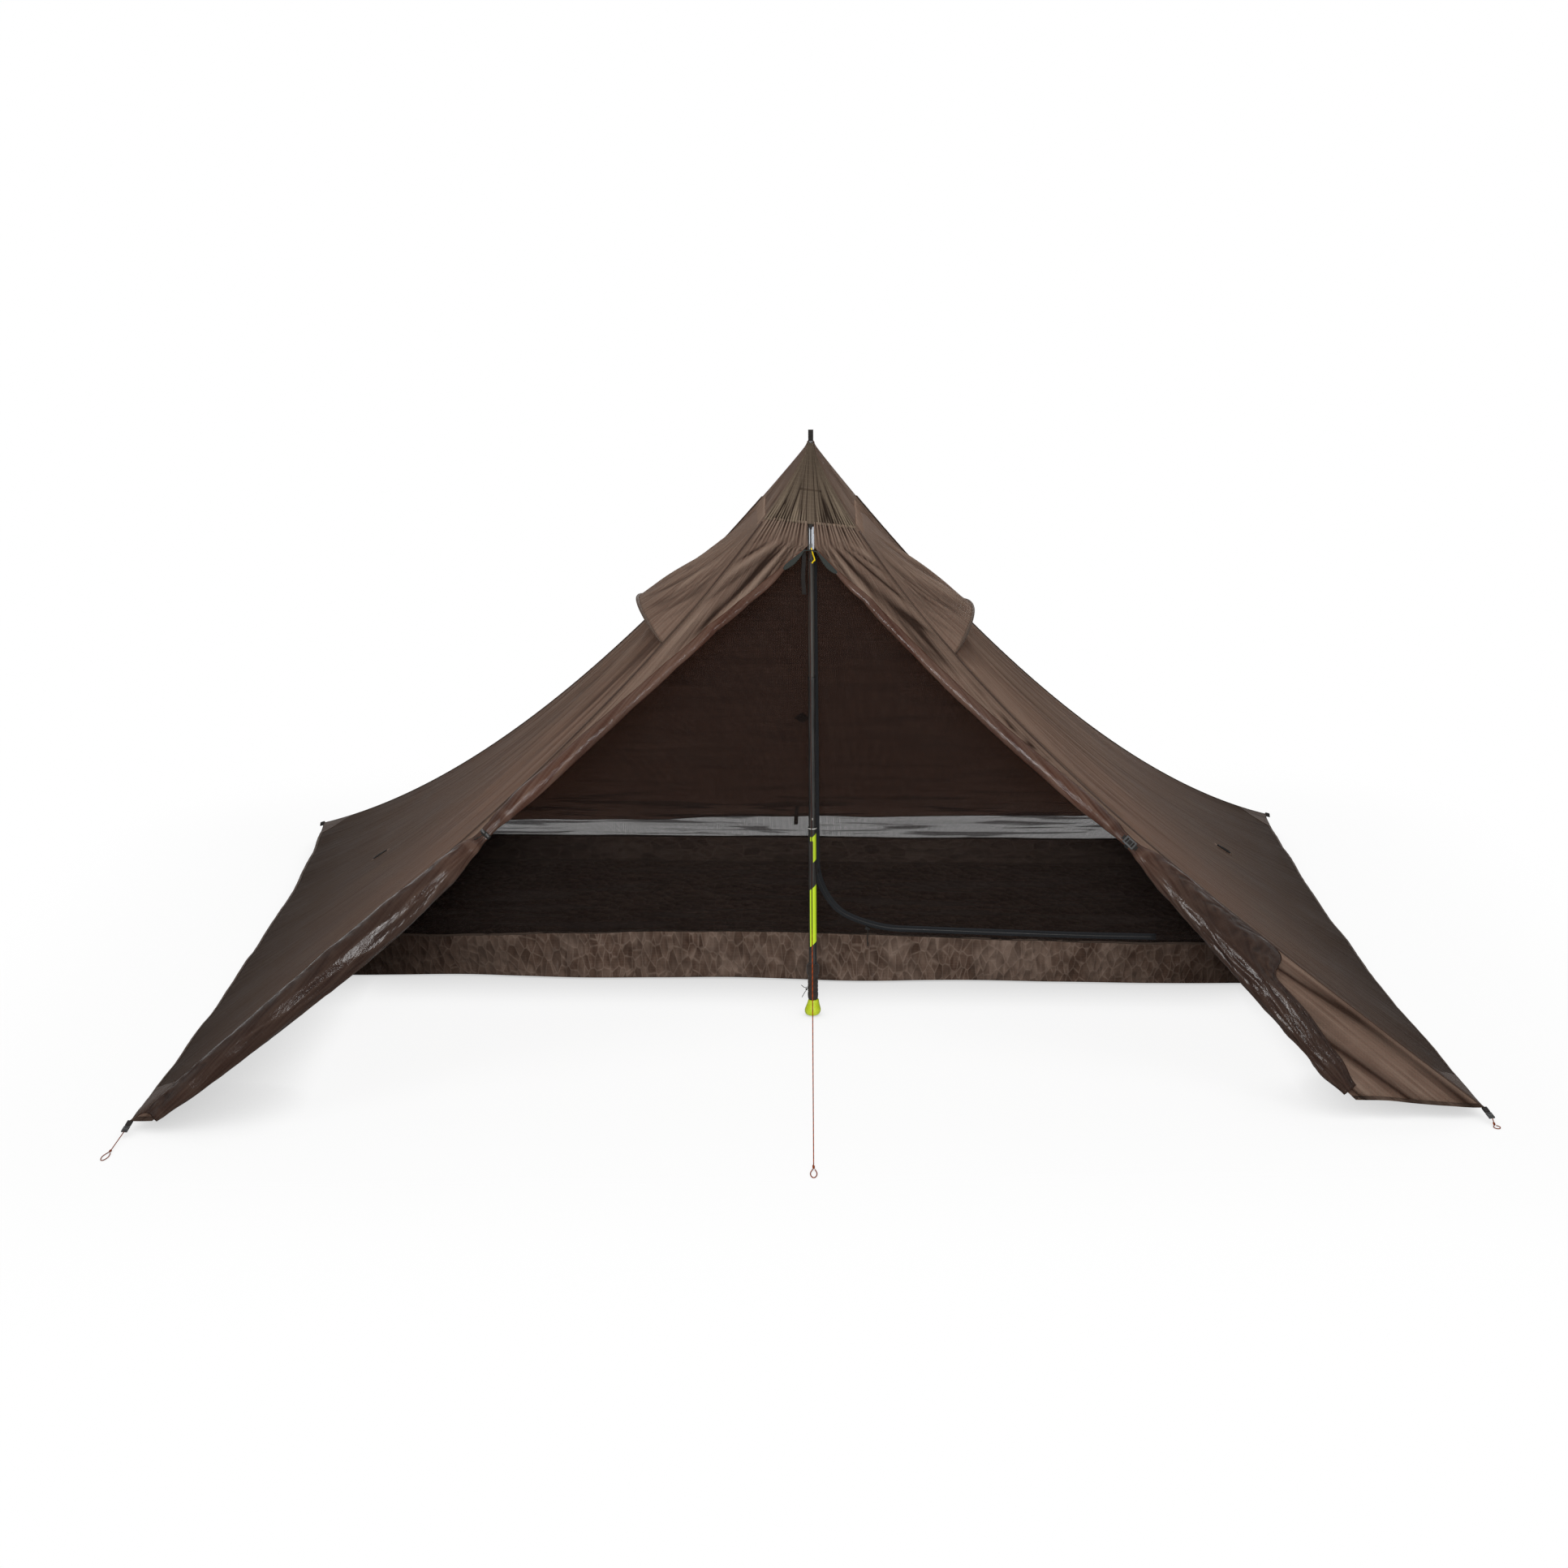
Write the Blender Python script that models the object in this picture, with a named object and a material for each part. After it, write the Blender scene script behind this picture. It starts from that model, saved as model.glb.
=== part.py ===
# Single-pole tent: a fly with two rolled-back doors, a net inner with a tub floor,
# and a three-section trekking pole that stands handle down and holds the crown up.
# Metres, +Z up, +Y away from the doors. The origin is the foot of the pole on the ground.

import bpy
import bmesh
from math import cos, pi, radians, sin, sqrt
from mathutils import Matrix, Vector

for old_object in list(bpy.data.objects):
    bpy.data.objects.remove(old_object, do_unlink=True)

# Fly: plan and height
apex_height = 1.33
base_width = 2.788
front_reach = 0.606
back_reach = 1.436
base_shift = -0.022
front_corner_height = 0.020
back_corner_height = 0.050
hip_sag_front_left = 0.125
hip_sag_front_right = 0.165
hip_sag_back = 0.147
hip_skew_share = 0.64
side_hem_draw = 0.060
side_hem_rise = 0.040
back_hem_draw = 0.136
back_hem_rise = 0.045
cloth = 0.0010
seam_gap = 0.0004
edge_back = 0.0008
crown_radius = 0.0080
crown_cloth = 0.0012
crown_end_share = 0.075
side_shares = (0.0, 0.12, 0.24, 0.375, 0.51, 0.545, 0.59, 0.78, 1.0)
back_columns = 8
strip_columns = 3
crown_steps = 4

# Pole: heights from the ground, radii and walls. Its sections are set to reach the crown.
fit_gap = 0.0003
tube_wall = 0.0007
handle_tube_radius = 0.0090
handle_tube_bottom = 0.0450
crown_to_tube = 0.0680
handle_top_share = 0.3566
middle_top_share = 0.6339
section_overlap = 0.0650
lower_tube_top = apex_height - crown_to_tube
handle_tube_top = lower_tube_top * handle_top_share
middle_tube_top = lower_tube_top * middle_top_share
middle_tube_bottom = handle_tube_top - section_overlap
lower_tube_bottom = middle_tube_top - section_overlap
plug_length = 0.0300
plug_stub = 0.0120
collar_height = 0.0060
collar_wall = 0.0016
grip_height = 0.0880
grip_radius = 0.0122
grip_collar_radius = 0.0148
cap_height = 0.0380
cap_radius = 0.0186
cap_lean = 0.0030
tip_height = 0.0600
tip_end_radius = 0.0024
round_sides = 20

# Crown fittings
cup_height = 0.0200
cup_radius = 0.0055
cup_bore_radius = 0.0041
pull_tab_height = 0.0240
webbing_width = 0.0110
webbing = 0.0012
webbing_slot = 0.0010

# Doors
door_top_share = 0.1030
door_foot_share = 0.985
roll_radius = 0.0170
left_bundle_radius = 0.0380
right_bundle_radius = 0.0300
bundle_flatness_share = 0.75
tie_radius = 0.0090
tie_width = 0.0100
tie_band = 0.0015
tie_share = 0.5200
tie_clear = 0.00045
tie_reach_share = 0.030
tie_straight_share = 0.006
left_bundle_end_share = 0.972
right_bundle_end_share = 0.957
fold_depth_share = 0.11
bundle_fold_depth_share = 0.176
fold_count = 3
toggle_length = 0.0240
toggle_radius = 0.0036
buckle_length = 0.0280
buckle_width = 0.0180
buckle_thickness = 0.0034

# Door lines on the front plane: share down the hip, share across from left to right
left_line_shares = [(0.103, 0.447), (0.122, 0.345), (0.168, 0.212), (0.205, 0.140), (0.257, 0.090),
                    (0.312, 0.060), (0.364, 0.044), (0.410, 0.036), (0.460, 0.029), (0.505, 0.025),
                    (0.540, 0.028), (0.588, 0.030), (0.663, 0.029), (0.741, 0.025), (0.807, 0.022),
                    (0.876, 0.020), (0.938, 0.018), (0.985, 0.016)]
right_line_shares = [(0.103, 0.548), (0.125, 0.655), (0.157, 0.768), (0.196, 0.830), (0.224, 0.862),
                     (0.258, 0.889), (0.308, 0.919), (0.359, 0.939), (0.398, 0.951), (0.434, 0.959),
                     (0.483, 0.967), (0.522, 0.968), (0.573, 0.960), (0.635, 0.952), (0.738, 0.939),
                     (0.843, 0.927), (0.917, 0.917), (0.985, 0.912)]
# Thickness of the rolled cloth along the same lines, as shares of its largest radius
roll_shares = [(0.103, 0.32), (0.150, 0.42), (0.205, 0.52), (0.300, 0.66), (0.380, 0.84), (0.450, 1.0),
               (0.485, 0.80), (0.505, 0.58), (0.513, 0.53), (0.520, 0.53)]
left_bundle_shares = [(0.520, 0.237), (0.527, 0.237), (0.545, 0.42), (0.590, 0.72), (0.660, 0.95),
                      (0.730, 1.0), (0.800, 0.88), (0.880, 0.72), (0.940, 0.60), (0.985, 0.40)]
right_bundle_shares = [(0.520, 0.30), (0.527, 0.30), (0.545, 0.46), (0.590, 0.72), (0.650, 0.84),
                       (0.740, 0.94), (0.840, 1.0), (0.920, 0.86), (0.985, 0.62)]

# Vents
vent_foot_share = 0.232
vent_top_share = 0.090
vent_span_share = 0.750
vent_start_share = 0.030
vent_lift = 0.058
hood_rows = 4
hood_columns = 10
vent_window_top_share = 0.130
vent_window_foot_share = 0.215
vent_window_start_share = 0.240
vent_window_end_share = 0.510
vent_lap = 0.008
brim_radius = 0.0024
brim_end_share = 0.28
net_cloth = 0.0007

# Fly zip
zip_half_width = 0.0060
zip_foot_share = 0.101
slider_length = 0.0120
slider_width = 0.0080
slider_height = 0.0060
# Sections of a slider from its foot to the top of its bridge: share of height, width and length
slider_shares = ((0.0, 0.92, 0.92), (0.12, 1.0, 1.0), (0.50, 1.0, 1.0), (0.62, 0.42, 0.90), (1.0, 0.36, 0.74))
pull_length = 0.0340
pull_radius = 0.0014
top_patch_width = 0.0240
top_patch_height = 0.0130
hanging_strap_length = 0.100
hanging_strap_width = 0.0090
hanging_strap_offset = 0.0155

# Cords
guy_diameter = 0.0022
guy_reach = 0.861
guy_aside = 0.012
corner_cord_diameter = 0.0020
loop_length = 0.040
loop_half_width = 0.0065
knot_swell_share = 1.5
wrap_cord_diameter = 0.0014
wrap_height = 0.066
wrap_climb = 0.026

# Corner fittings
tab_length = 0.018
tensioner_length = 0.0180
tensioner_width = 0.0130
tensioner_thickness = 0.0030
left_peg_reach = 0.145
right_peg_reach = 0.062
left_peg_side = 0.018
right_peg_side = 0.012
side_loop_down_share = 0.778
side_loop_across_share = 0.566
side_loop_length = 0.046
side_loop_half_width = 0.0085
side_loop_radius = 0.0014

# Back wall
patch_down_share = 0.514
patch_half = 0.021
hem_strap_start_share = 0.900
hem_strap_overhang = 0.028
hem_strap_width = 0.012

# Inner
tub_length = 2.250
tub_depth = 0.960
tub_turn = radians(-3.3)
tub_front_offset = 0.212
tub_front_wall = 0.108
tub_back_wall = 0.072
tub_flare = 0.010
tub_sheet = 0.0010
inner_crown_back = 0.030
inner_crown_drop = 0.090
inner_crown_height = apex_height - inner_crown_drop
inner_hip_sag = 0.090
inner_start_share = 0.040
net_rows = 10
zip_line_offset = 0.012
zip_arc_radius = 0.200
zip_floor_rise = 0.016
zip_run = 0.610
zip_top_drop = 0.250
zip_top_height = apex_height - zip_top_drop
inner_tape_width = 0.0120
slider_rest_angle = radians(23.0)
crown_strap_width = 0.010

apex = Vector((0.0, 0.0, apex_height))
left = -1
right = 1


def build_material(name, colour, roughness, metallic=0.0, alpha=1.0):
    finish = bpy.data.materials.new(name)
    finish.use_nodes = True
    shader = finish.node_tree.nodes["Principled BSDF"]
    shader.inputs["Base Color"].default_value = (*colour, 1.0)
    shader.inputs["Roughness"].default_value = roughness
    shader.inputs["Metallic"].default_value = metallic
    shader.inputs["Alpha"].default_value = alpha
    return finish


fly_cloth = build_material("fly_cloth", (0.075, 0.047, 0.035), 0.55)
door_lining = build_material("door_lining", (0.110, 0.055, 0.042), 0.32)
crown_cloth_finish = build_material("crown_cloth", (0.105, 0.075, 0.055), 0.50)
tub_cloth = build_material("tub_cloth", (0.085, 0.045, 0.032), 0.45)
black_net = build_material("black_net", (0.010, 0.009, 0.010), 0.80, alpha=0.45)
black_webbing = build_material("black_webbing", (0.012, 0.012, 0.012), 0.75)
black_plastic = build_material("black_plastic", (0.018, 0.018, 0.018), 0.40)
zip_tape_finish = build_material("zip_tape", (0.350, 0.350, 0.360), 0.45)
inner_tape_finish = build_material("inner_zip_tape", (0.060, 0.062, 0.068), 0.65)
yellow_cord = build_material("yellow_cord", (0.780, 0.560, 0.020), 0.60)
orange_cord = build_material("orange_cord", (0.340, 0.110, 0.030), 0.65)
dark_cord = build_material("dark_cord", (0.030, 0.028, 0.026), 0.70)
black_tube = build_material("anodised_black_tube", (0.028, 0.028, 0.030), 0.30, 0.85)
white_plastic = build_material("white_plastic", (0.720, 0.720, 0.720), 0.45)
lime_tube = build_material("lacquered_tube", (0.330, 0.600, 0.030), 0.32)
grip_foam = build_material("grip_foam", (0.032, 0.026, 0.023), 0.90)
lime_cap = build_material("lime_plastic", (0.560, 0.680, 0.040), 0.42)
steel_tip = build_material("steel_tip", (0.400, 0.400, 0.410), 0.30, 1.0)


def add_object(name, data, finish):
    data.materials.append(finish)
    item = bpy.data.objects.new(name, data)
    bpy.context.scene.collection.objects.link(item)
    return item


# Joins rings of points into one closed body. A looped loft joins the last ring to the first.
def loft(name, rings, finish, looped=False):
    bm = bmesh.new()
    loops = [[bm.verts.new(point) for point in ring] for ring in rings]
    count = len(loops[0])
    pairs = list(zip(loops, loops[1:]))
    if looped:
        pairs.append((loops[-1], loops[0]))
    for low, high in pairs:
        for i in range(count):
            j = (i + 1) % count
            bm.faces.new((low[i], low[j], high[j], high[i]))
    if not looped:
        bm.faces.new(list(reversed(loops[0])))
        bm.faces.new(loops[-1])
    bmesh.ops.recalc_face_normals(bm, faces=bm.faces)
    mesh = bpy.data.meshes.new(name)
    bm.to_mesh(mesh)
    bm.free()
    mesh.shade_smooth()
    mesh.set_sharp_from_angle(angle=radians(40))
    return add_object(name, mesh, finish)


# A grid of points with a thickness, half of it on each side. Cells in holes stay open.
def sheet(name, rows, finish, thickness, holes=()):
    bm = bmesh.new()
    grid = [[bm.verts.new(point) for point in row] for row in rows]
    for i in range(len(grid) - 1):
        for j in range(len(grid[0]) - 1):
            if (i, j) not in holes:
                bm.faces.new((grid[i][j], grid[i][j + 1], grid[i + 1][j + 1], grid[i + 1][j]))
    loose = [vertex for vertex in bm.verts if not vertex.link_faces]
    bmesh.ops.delete(bm, geom=loose, context="VERTS")
    mesh = bpy.data.meshes.new(name)
    bm.to_mesh(mesh)
    bm.free()
    mesh.shade_smooth()
    item = add_object(name, mesh, finish)
    solidify = item.modifiers.new("Thickness", "SOLIDIFY")
    solidify.thickness = thickness
    solidify.offset = 0.0
    return item


# A ring of points around a centre, in the plane of two unit vectors
def ring(centre, across, along, half_across, half_along, count=round_sides):
    angles = [2 * pi * k / count for k in range(count)]
    return [centre + across * (half_across * cos(a)) + along * (half_along * sin(a)) for a in angles]


# A body turned about the vertical line through the origin, from (radius, height) pairs
def turned(name, profile, finish, hollow=False):
    rings = [ring(Vector((0, 0, height)), Vector((1, 0, 0)), Vector((0, 1, 0)), radius, radius)
             for radius, height in profile]
    return loft(name, rings, finish, looped=hollow)


# A smooth curve through the points of a route, read at even shares of its points
def smooth_route(route, count):
    points = [Vector(p) for p in route]
    points = [2 * points[0] - points[1]] + points + [2 * points[-1] - points[-2]]
    result = []
    for k in range(count):
        place = (len(points) - 3) * k / (count - 1)
        i = min(int(place), len(points) - 4)
        f = place - i
        a, b, c, d = points[i:i + 4]
        result.append((2 * b + (c - a) * f + (2 * a - 5 * b + 4 * c - d) * f ** 2
                       + (3 * b - a - 3 * c + d) * f ** 3) / 2)
    return result


# A cord along the points, with a share of extra thickness at some of them for a knot
def cord(name, points, diameter, finish, swell=()):
    curve = bpy.data.curves.new(name, "CURVE")
    curve.dimensions = "3D"
    curve.bevel_depth = diameter / 2
    curve.bevel_resolution = 2
    curve.use_fill_caps = True
    spline = curve.splines.new("POLY")
    spline.points.add(len(points) - 1)
    for k, (target, point) in enumerate(zip(spline.points, points)):
        target.co = (*point, 1.0)
        target.radius = 1.0 + (knot_swell_share - 1.0 if k in swell else 0.0)
    return add_object(name, curve, finish)


# A value read from a table of (share, value) pairs
def read_table(table, share):
    for (low, low_value), (high, high_value) in zip(table, table[1:]):
        if share <= high:
            f = max(0.0, (share - low) / (high - low))
            f = f * f * (3 - 2 * f) if table is not left_line_shares and table is not right_line_shares else f
            return low_value + (high_value - low_value) * f
    return table[-1][1]


# Fly surface

def corner(side, front):
    reach, height = (-front_reach, front_corner_height) if front else (back_reach, back_corner_height)
    return Vector((base_shift + side * base_width / 2, reach, height))


def hip(side, front, down):
    point = apex.lerp(corner(side, front), down)
    if front:
        sag = hip_sag_front_left if side == left else hip_sag_front_right
        point.z -= sag * sin(pi * down ** hip_skew_share)
    else:
        point.z -= hip_sag_back * 4 * down * (1 - down)
    return point


def round_crown(point):
    flat = Vector((point.x, point.y, 0.0))
    if flat.length == 0:
        return point
    wide = flat.normalized() * sqrt(flat.length_squared + crown_radius ** 2)
    return Vector((wide.x, wide.y, point.z))


def fly_point(panel, down, across):
    ends = {"front": ((left, True), (right, True)), "back": ((right, False), (left, False)),
            "left": ((left, False), (left, True)), "right": ((right, True), (right, False))}[panel]
    point = hip(*ends[0], down).lerp(hip(*ends[1], down), across)
    bow = 4 * across * (1 - across) * down ** 2
    draw = {"front": Vector((0, 0, 0)), "back": Vector((0, -back_hem_draw, back_hem_rise)),
            "left": Vector((side_hem_draw, 0, side_hem_rise)),
            "right": Vector((-side_hem_draw, 0, side_hem_rise))}[panel]
    return round_crown(point + draw * bow)


def fly_normal(panel, down, across):
    step = 0.01
    a = fly_point(panel, min(down + step, 1.0), across) - fly_point(panel, down - step, across)
    b = fly_point(panel, down, min(across + step, 1.0)) - fly_point(panel, down, max(across - step, 0.0))
    return a.cross(b).normalized()


def panel_width(panel, down):
    return (fly_point(panel, down, 1.0) - fly_point(panel, down, 0.0)).length


# Rows of points on a fly panel between two shares across. The steps are shares of that width.
def fly_rows(panel, downs, across_at, steps):
    rows = []
    for down in downs:
        start, end = across_at(down)
        rows.append([fly_point(panel, down, start + (end - start) * step) for step in steps])
    return rows


def row_shares(start, end, count):
    return [start + (end - start) * k / count for k in range(count + 1)]


crown_joint = seam_gap / apex_height
crown_shares = (0.0006, 0.008, 0.024, 0.048, crown_end_share)
panel_down_shares = [crown_end_share + crown_joint, zip_foot_share - crown_joint,
                     zip_foot_share + crown_joint, vent_window_top_share, 0.160, 0.190,
                     vent_window_foot_share, 0.270, 0.320, 0.380, 0.450, tie_share - 0.008, tie_share,
                     tie_share + 0.008, 0.590, 0.670, 0.758, 0.798, 0.860, 0.930, door_foot_share, 1.0]
panel_rows = len(panel_down_shares) - 1


# Left, right and back fly panels, each with its edges drawn back from the hips
def build_fly_panels():
    back_shares = row_shares(0.0, 1.0, back_columns)
    mirrored = [1.0 - share for share in reversed(side_shares)]
    for panel, steps in (("left", mirrored), ("right", side_shares), ("back", back_shares)):
        def edges(down, panel=panel):
            inset = edge_back / panel_width(panel, down)
            return inset, 1.0 - inset

        holes = set()
        if panel != "back":
            for i in range(panel_rows):
                for j in range(len(steps) - 1):
                    mid_down = (panel_down_shares[i] + panel_down_shares[i + 1]) / 2
                    mid_across = from_front(panel, (steps[j] + steps[j + 1]) / 2)
                    if (vent_window_top_share < mid_down < vent_window_foot_share
                            and vent_window_start_share < mid_across < vent_window_end_share):
                        holes.add((i, j))
        rows = fly_rows(panel, panel_down_shares, edges, steps)
        sheet(f"fly_{panel}_panel", rows, fly_cloth, cloth, holes)


# Side panels run across from the back hip on the left and from the front hip on the right
def from_front(panel, share):
    return 1.0 - share if panel == "left" else share


def build_crown():
    rings = []
    for down in crown_shares:
        loop = []
        for panel in ("front", "right", "back", "left"):
            steps = crown_steps
            for k in range(steps):
                loop.append(fly_point(panel, down, k / steps))
        rings.append(loop)
    crown_top = max(point.z for point in rings[0])
    rings[0] = [Vector((point.x, point.y, crown_top)) for point in rings[0]]
    bm = bmesh.new()
    loops = [[bm.verts.new(point) for point in loop] for loop in rings]
    count = len(loops[0])
    for high, low in zip(loops, loops[1:]):
        for i in range(count):
            j = (i + 1) % count
            bm.faces.new((high[i], low[i], low[j], high[j]))
    bm.faces.new(loops[0])
    mesh = bpy.data.meshes.new("crown_cone")
    bm.to_mesh(mesh)
    bm.free()
    mesh.shade_smooth()
    item = add_object("crown_cone", mesh, crown_cloth_finish)
    solidify = item.modifiers.new("Thickness", "SOLIDIFY")
    solidify.thickness = crown_cloth
    solidify.offset = -1.0
    return crown_top


# A folded webbing tab: two plies with a slot, closed at its far end
def folded_tab(name, base, direction, width_direction, length, width, finish):
    direction = direction.normalized()
    width_direction = (width_direction - direction * width_direction.dot(direction)).normalized()
    face = direction.cross(width_direction)
    outer = webbing + webbing_slot / 2
    inner = webbing_slot / 2
    outline = [(outer, 0.0), (outer, length - webbing), (inner, length), (-inner, length),
               (-outer, length - webbing), (-outer, 0.0), (-inner, 0.0), (-inner, length - webbing),
               (inner, length - webbing), (inner, 0.0)]
    halves = (-width / 2, width / 2)
    rings = [[base + face * x + direction * y + width_direction * half for x, y in outline]
             for half in halves]
    return loft(name, rings, finish)


# A flat plastic ladder lock with two slots
def ladder_lock(name, centre, along, across, length, width, thickness, finish):
    along = along.normalized()
    across = (across - along * across.dot(along)).normalized()
    stops = (-0.5, -0.34, -0.22, 0.22, 0.34, 0.5)
    sides = (-0.5, -0.34, 0.34, 0.5)
    rows = [[centre + along * (length * s) + across * (width * c) for c in sides] for s in stops]
    return sheet(name, rows, finish, thickness, holes={(1, 1), (3, 1)})


# Pole, standing handle down

def build_pole():
    middle_radius = handle_tube_radius - tube_wall - fit_gap
    lower_radius = middle_radius - tube_wall - fit_gap
    low = (cap_radius * 0.60, 0.0)
    cap_profile = [low, (cap_radius * 0.93, cap_height * 0.16), (cap_radius, cap_height * 0.42),
                   (cap_radius * 0.86, cap_height * 0.74), (cap_radius * 0.62, cap_height)]
    rings = []
    for k, (radius, height) in enumerate(cap_profile):
        shift = cap_lean * (k / (len(cap_profile) - 1) - 0.5) if k else -cap_lean / 2
        rings.append(ring(Vector((shift, 0, height)), Vector((1, 0, 0)), Vector((0, 1, 0)), radius, radius))
    loft("pole_grip_cap", rings, lime_cap)
    grip_bottom = cap_height + fit_gap
    grip_top = grip_bottom + grip_height
    bore = handle_tube_radius + fit_gap
    turned("pole_grip", [(grip_radius * 0.86, grip_bottom), (grip_radius, grip_bottom + grip_height * 0.12),
                         (grip_radius * 0.93, grip_bottom + grip_height * 0.40),
                         (grip_radius, grip_bottom + grip_height * 0.66),
                         (grip_collar_radius, grip_bottom + grip_height * 0.72),
                         (grip_collar_radius, grip_bottom + grip_height * 0.94),
                         (grip_radius, grip_top), (bore, grip_top), (bore, handle_tube_bottom - fit_gap)],
           grip_foam)
    tube("pole_handle_tube", handle_tube_radius, handle_tube_bottom, handle_tube_top, lime_tube)
    tube("pole_middle_tube", middle_radius, middle_tube_bottom, middle_tube_top, black_tube)
    tube("pole_lower_tube", lower_radius, lower_tube_bottom, lower_tube_top, black_tube)
    plug("pole_middle_plug", middle_radius, middle_tube_bottom)
    plug("pole_lower_plug", lower_radius, lower_tube_bottom)
    collar("pole_handle_ring", middle_radius, handle_tube_top, white_plastic)
    collar("pole_middle_ring", lower_radius, middle_tube_top, black_plastic)
    tip_bottom = lower_tube_top + fit_gap
    stub = lower_radius - tube_wall - fit_gap
    tip_top = tip_bottom + tip_height
    turned("pole_tip", [(stub, tip_bottom - plug_stub), (stub, tip_bottom), (lower_radius * 0.93, tip_bottom),
                        (lower_radius * 0.80, tip_bottom + tip_height * 0.30),
                        (lower_radius * 0.50, tip_bottom + tip_height * 0.68), (tip_end_radius, tip_top)],
           steel_tip)
    return tip_top


def tube(name, radius, bottom, top, finish):
    inner = radius - tube_wall
    turned(name, [(radius, bottom), (radius, top), (inner, top), (inner, bottom)], finish, hollow=True)


# A collar on the mouth of one tube, round the next tube
def collar(name, tube_radius, mouth, finish):
    bottom = mouth + fit_gap
    bore = tube_radius + fit_gap
    turned(name, [(bore, bottom), (bore + collar_wall, bottom), (bore + collar_wall, bottom + collar_height),
                  (bore, bottom + collar_height)], finish, hollow=True)


def plug(name, tube_radius, tube_bottom):
    top = tube_bottom - fit_gap
    stub = tube_radius - tube_wall - fit_gap
    turned(name, [(tube_radius * 0.90, top - plug_length), (tube_radius, top - plug_length * 0.85),
                  (tube_radius, top), (stub, top), (stub, top + plug_stub)], black_plastic)


# The thin cord wrapped once round the grip, with its knot and two tails on the left
def build_wrap_cord():
    radius = grip_radius + fit_gap + wrap_cord_diameter / 2
    turns = 18
    route = [Vector((-radius * 1.95, -radius * 0.75, wrap_height - wrap_climb * 0.75)),
             Vector((-radius * 1.35, -radius * 0.55, wrap_height - wrap_climb * 0.25))]
    for k in range(turns + 1):
        angle = radians(198 + 310 * k / turns)
        rise = wrap_climb * sin(pi * k / turns)
        route.append(Vector((radius * cos(angle), radius * sin(angle), wrap_height + rise)))
    route.append(Vector((-radius * 1.45, radius * 0.62, wrap_height - wrap_climb * 0.10)))
    route.append(Vector((-radius * 2.05, radius * 0.40, wrap_height + wrap_climb * 0.18)))
    cord("grip_wrap_cord", smooth_route(route, 44), wrap_cord_diameter, dark_cord)


def build_crown_fittings(crown_top, tip_top):
    cup_top = crown_top - crown_cloth - fit_gap
    seat = tip_top + fit_gap
    turned("crown_cup", [(cup_radius, cup_top), (cup_radius, cup_top - cup_height),
                         (cup_bore_radius, cup_top - cup_height), (cup_bore_radius, seat)], black_webbing)
    folded_tab("crown_pull_tab", Vector((0, 0, crown_top + fit_gap)), Vector((0, 0, 1)), Vector((1, 0, 0)),
               pull_tab_height, webbing_width, black_webbing)
    return cup_top


# Rolled doors

def door_line(side):
    return left_line_shares if side == left else right_line_shares


def front_out(down):
    out = fly_normal("front", down, 0.5)
    return out if out.y < 0 else -out


# The rolled cloth lies on the front cloth, so its centre is lifted by its own half thickness
def door_centre(side, down):
    half = bundle_flatness_share * cloth_radius(side, down)
    if abs(down - tie_share) < tie_reach_share:
        half = max(half, bundle_flatness_share * tie_radius + tie_clear + tie_band)
    lift = half + cloth / 2 + seam_gap
    return fly_point("front", down, read_table(door_line(side), down)) + front_out(down) * lift


def door_frame(side, down):
    step = 0.004
    run = (door_centre(side, down + step) - door_centre(side, down - step)).normalized()
    across = run.cross(front_out(down)).normalized()
    return run, across, across.cross(run)


def cloth_radius(side, down):
    if down <= tie_share:
        return roll_radius * read_table(roll_shares, down)
    if side == left:
        return left_bundle_radius * read_table(left_bundle_shares, down)
    return right_bundle_radius * read_table(right_bundle_shares, down)


def line_speed(side, down):
    step = 0.004
    return (door_centre(side, down + step) - door_centre(side, down - step)).length / (2 * step)


# Rings of rolled cloth: an oval with a few folds that wander along the door
def cloth_rings(side, downs, sides, depth):
    rings = []
    for down in downs:
        run, across, out = door_frame(side, down)
        radius = cloth_radius(side, down)
        swell = depth * min(1.0, max(0.0, abs(down - tie_share) * 14 - 0.25))
        loop = []
        for k in range(sides):
            angle = 2 * pi * k / sides
            size = radius * (1 - swell / 2 + swell / 2 * cos(fold_count * angle + 26 * down))
            loop.append(door_centre(side, down) + across * (size * cos(angle))
                        + out * (size * bundle_flatness_share * sin(angle)))
        rings.append(loop)
    return rings


def build_doors():
    for side, word in ((left, "left"), (right, "right")):
        half_gap = fit_gap / 2 / line_speed(side, tie_share)
        straight = tie_straight_share
        roll_downs = row_shares(door_top_share, tie_share - straight * 2, 15)
        roll_downs += [tie_share - straight, tie_share - half_gap]
        end = left_bundle_end_share if side == left else right_bundle_end_share
        bundle_downs = [tie_share + half_gap, tie_share + straight]
        bundle_downs += row_shares(tie_share + straight * 2, end, 16)
        loft(f"{word}_door_roll", cloth_rings(side, roll_downs, 10, fold_depth_share), door_lining)
        loft(f"{word}_door_bundle", cloth_rings(side, bundle_downs, 14, bundle_fold_depth_share), door_lining)
        build_tie(side, word)
        build_strip(side, word)


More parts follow.
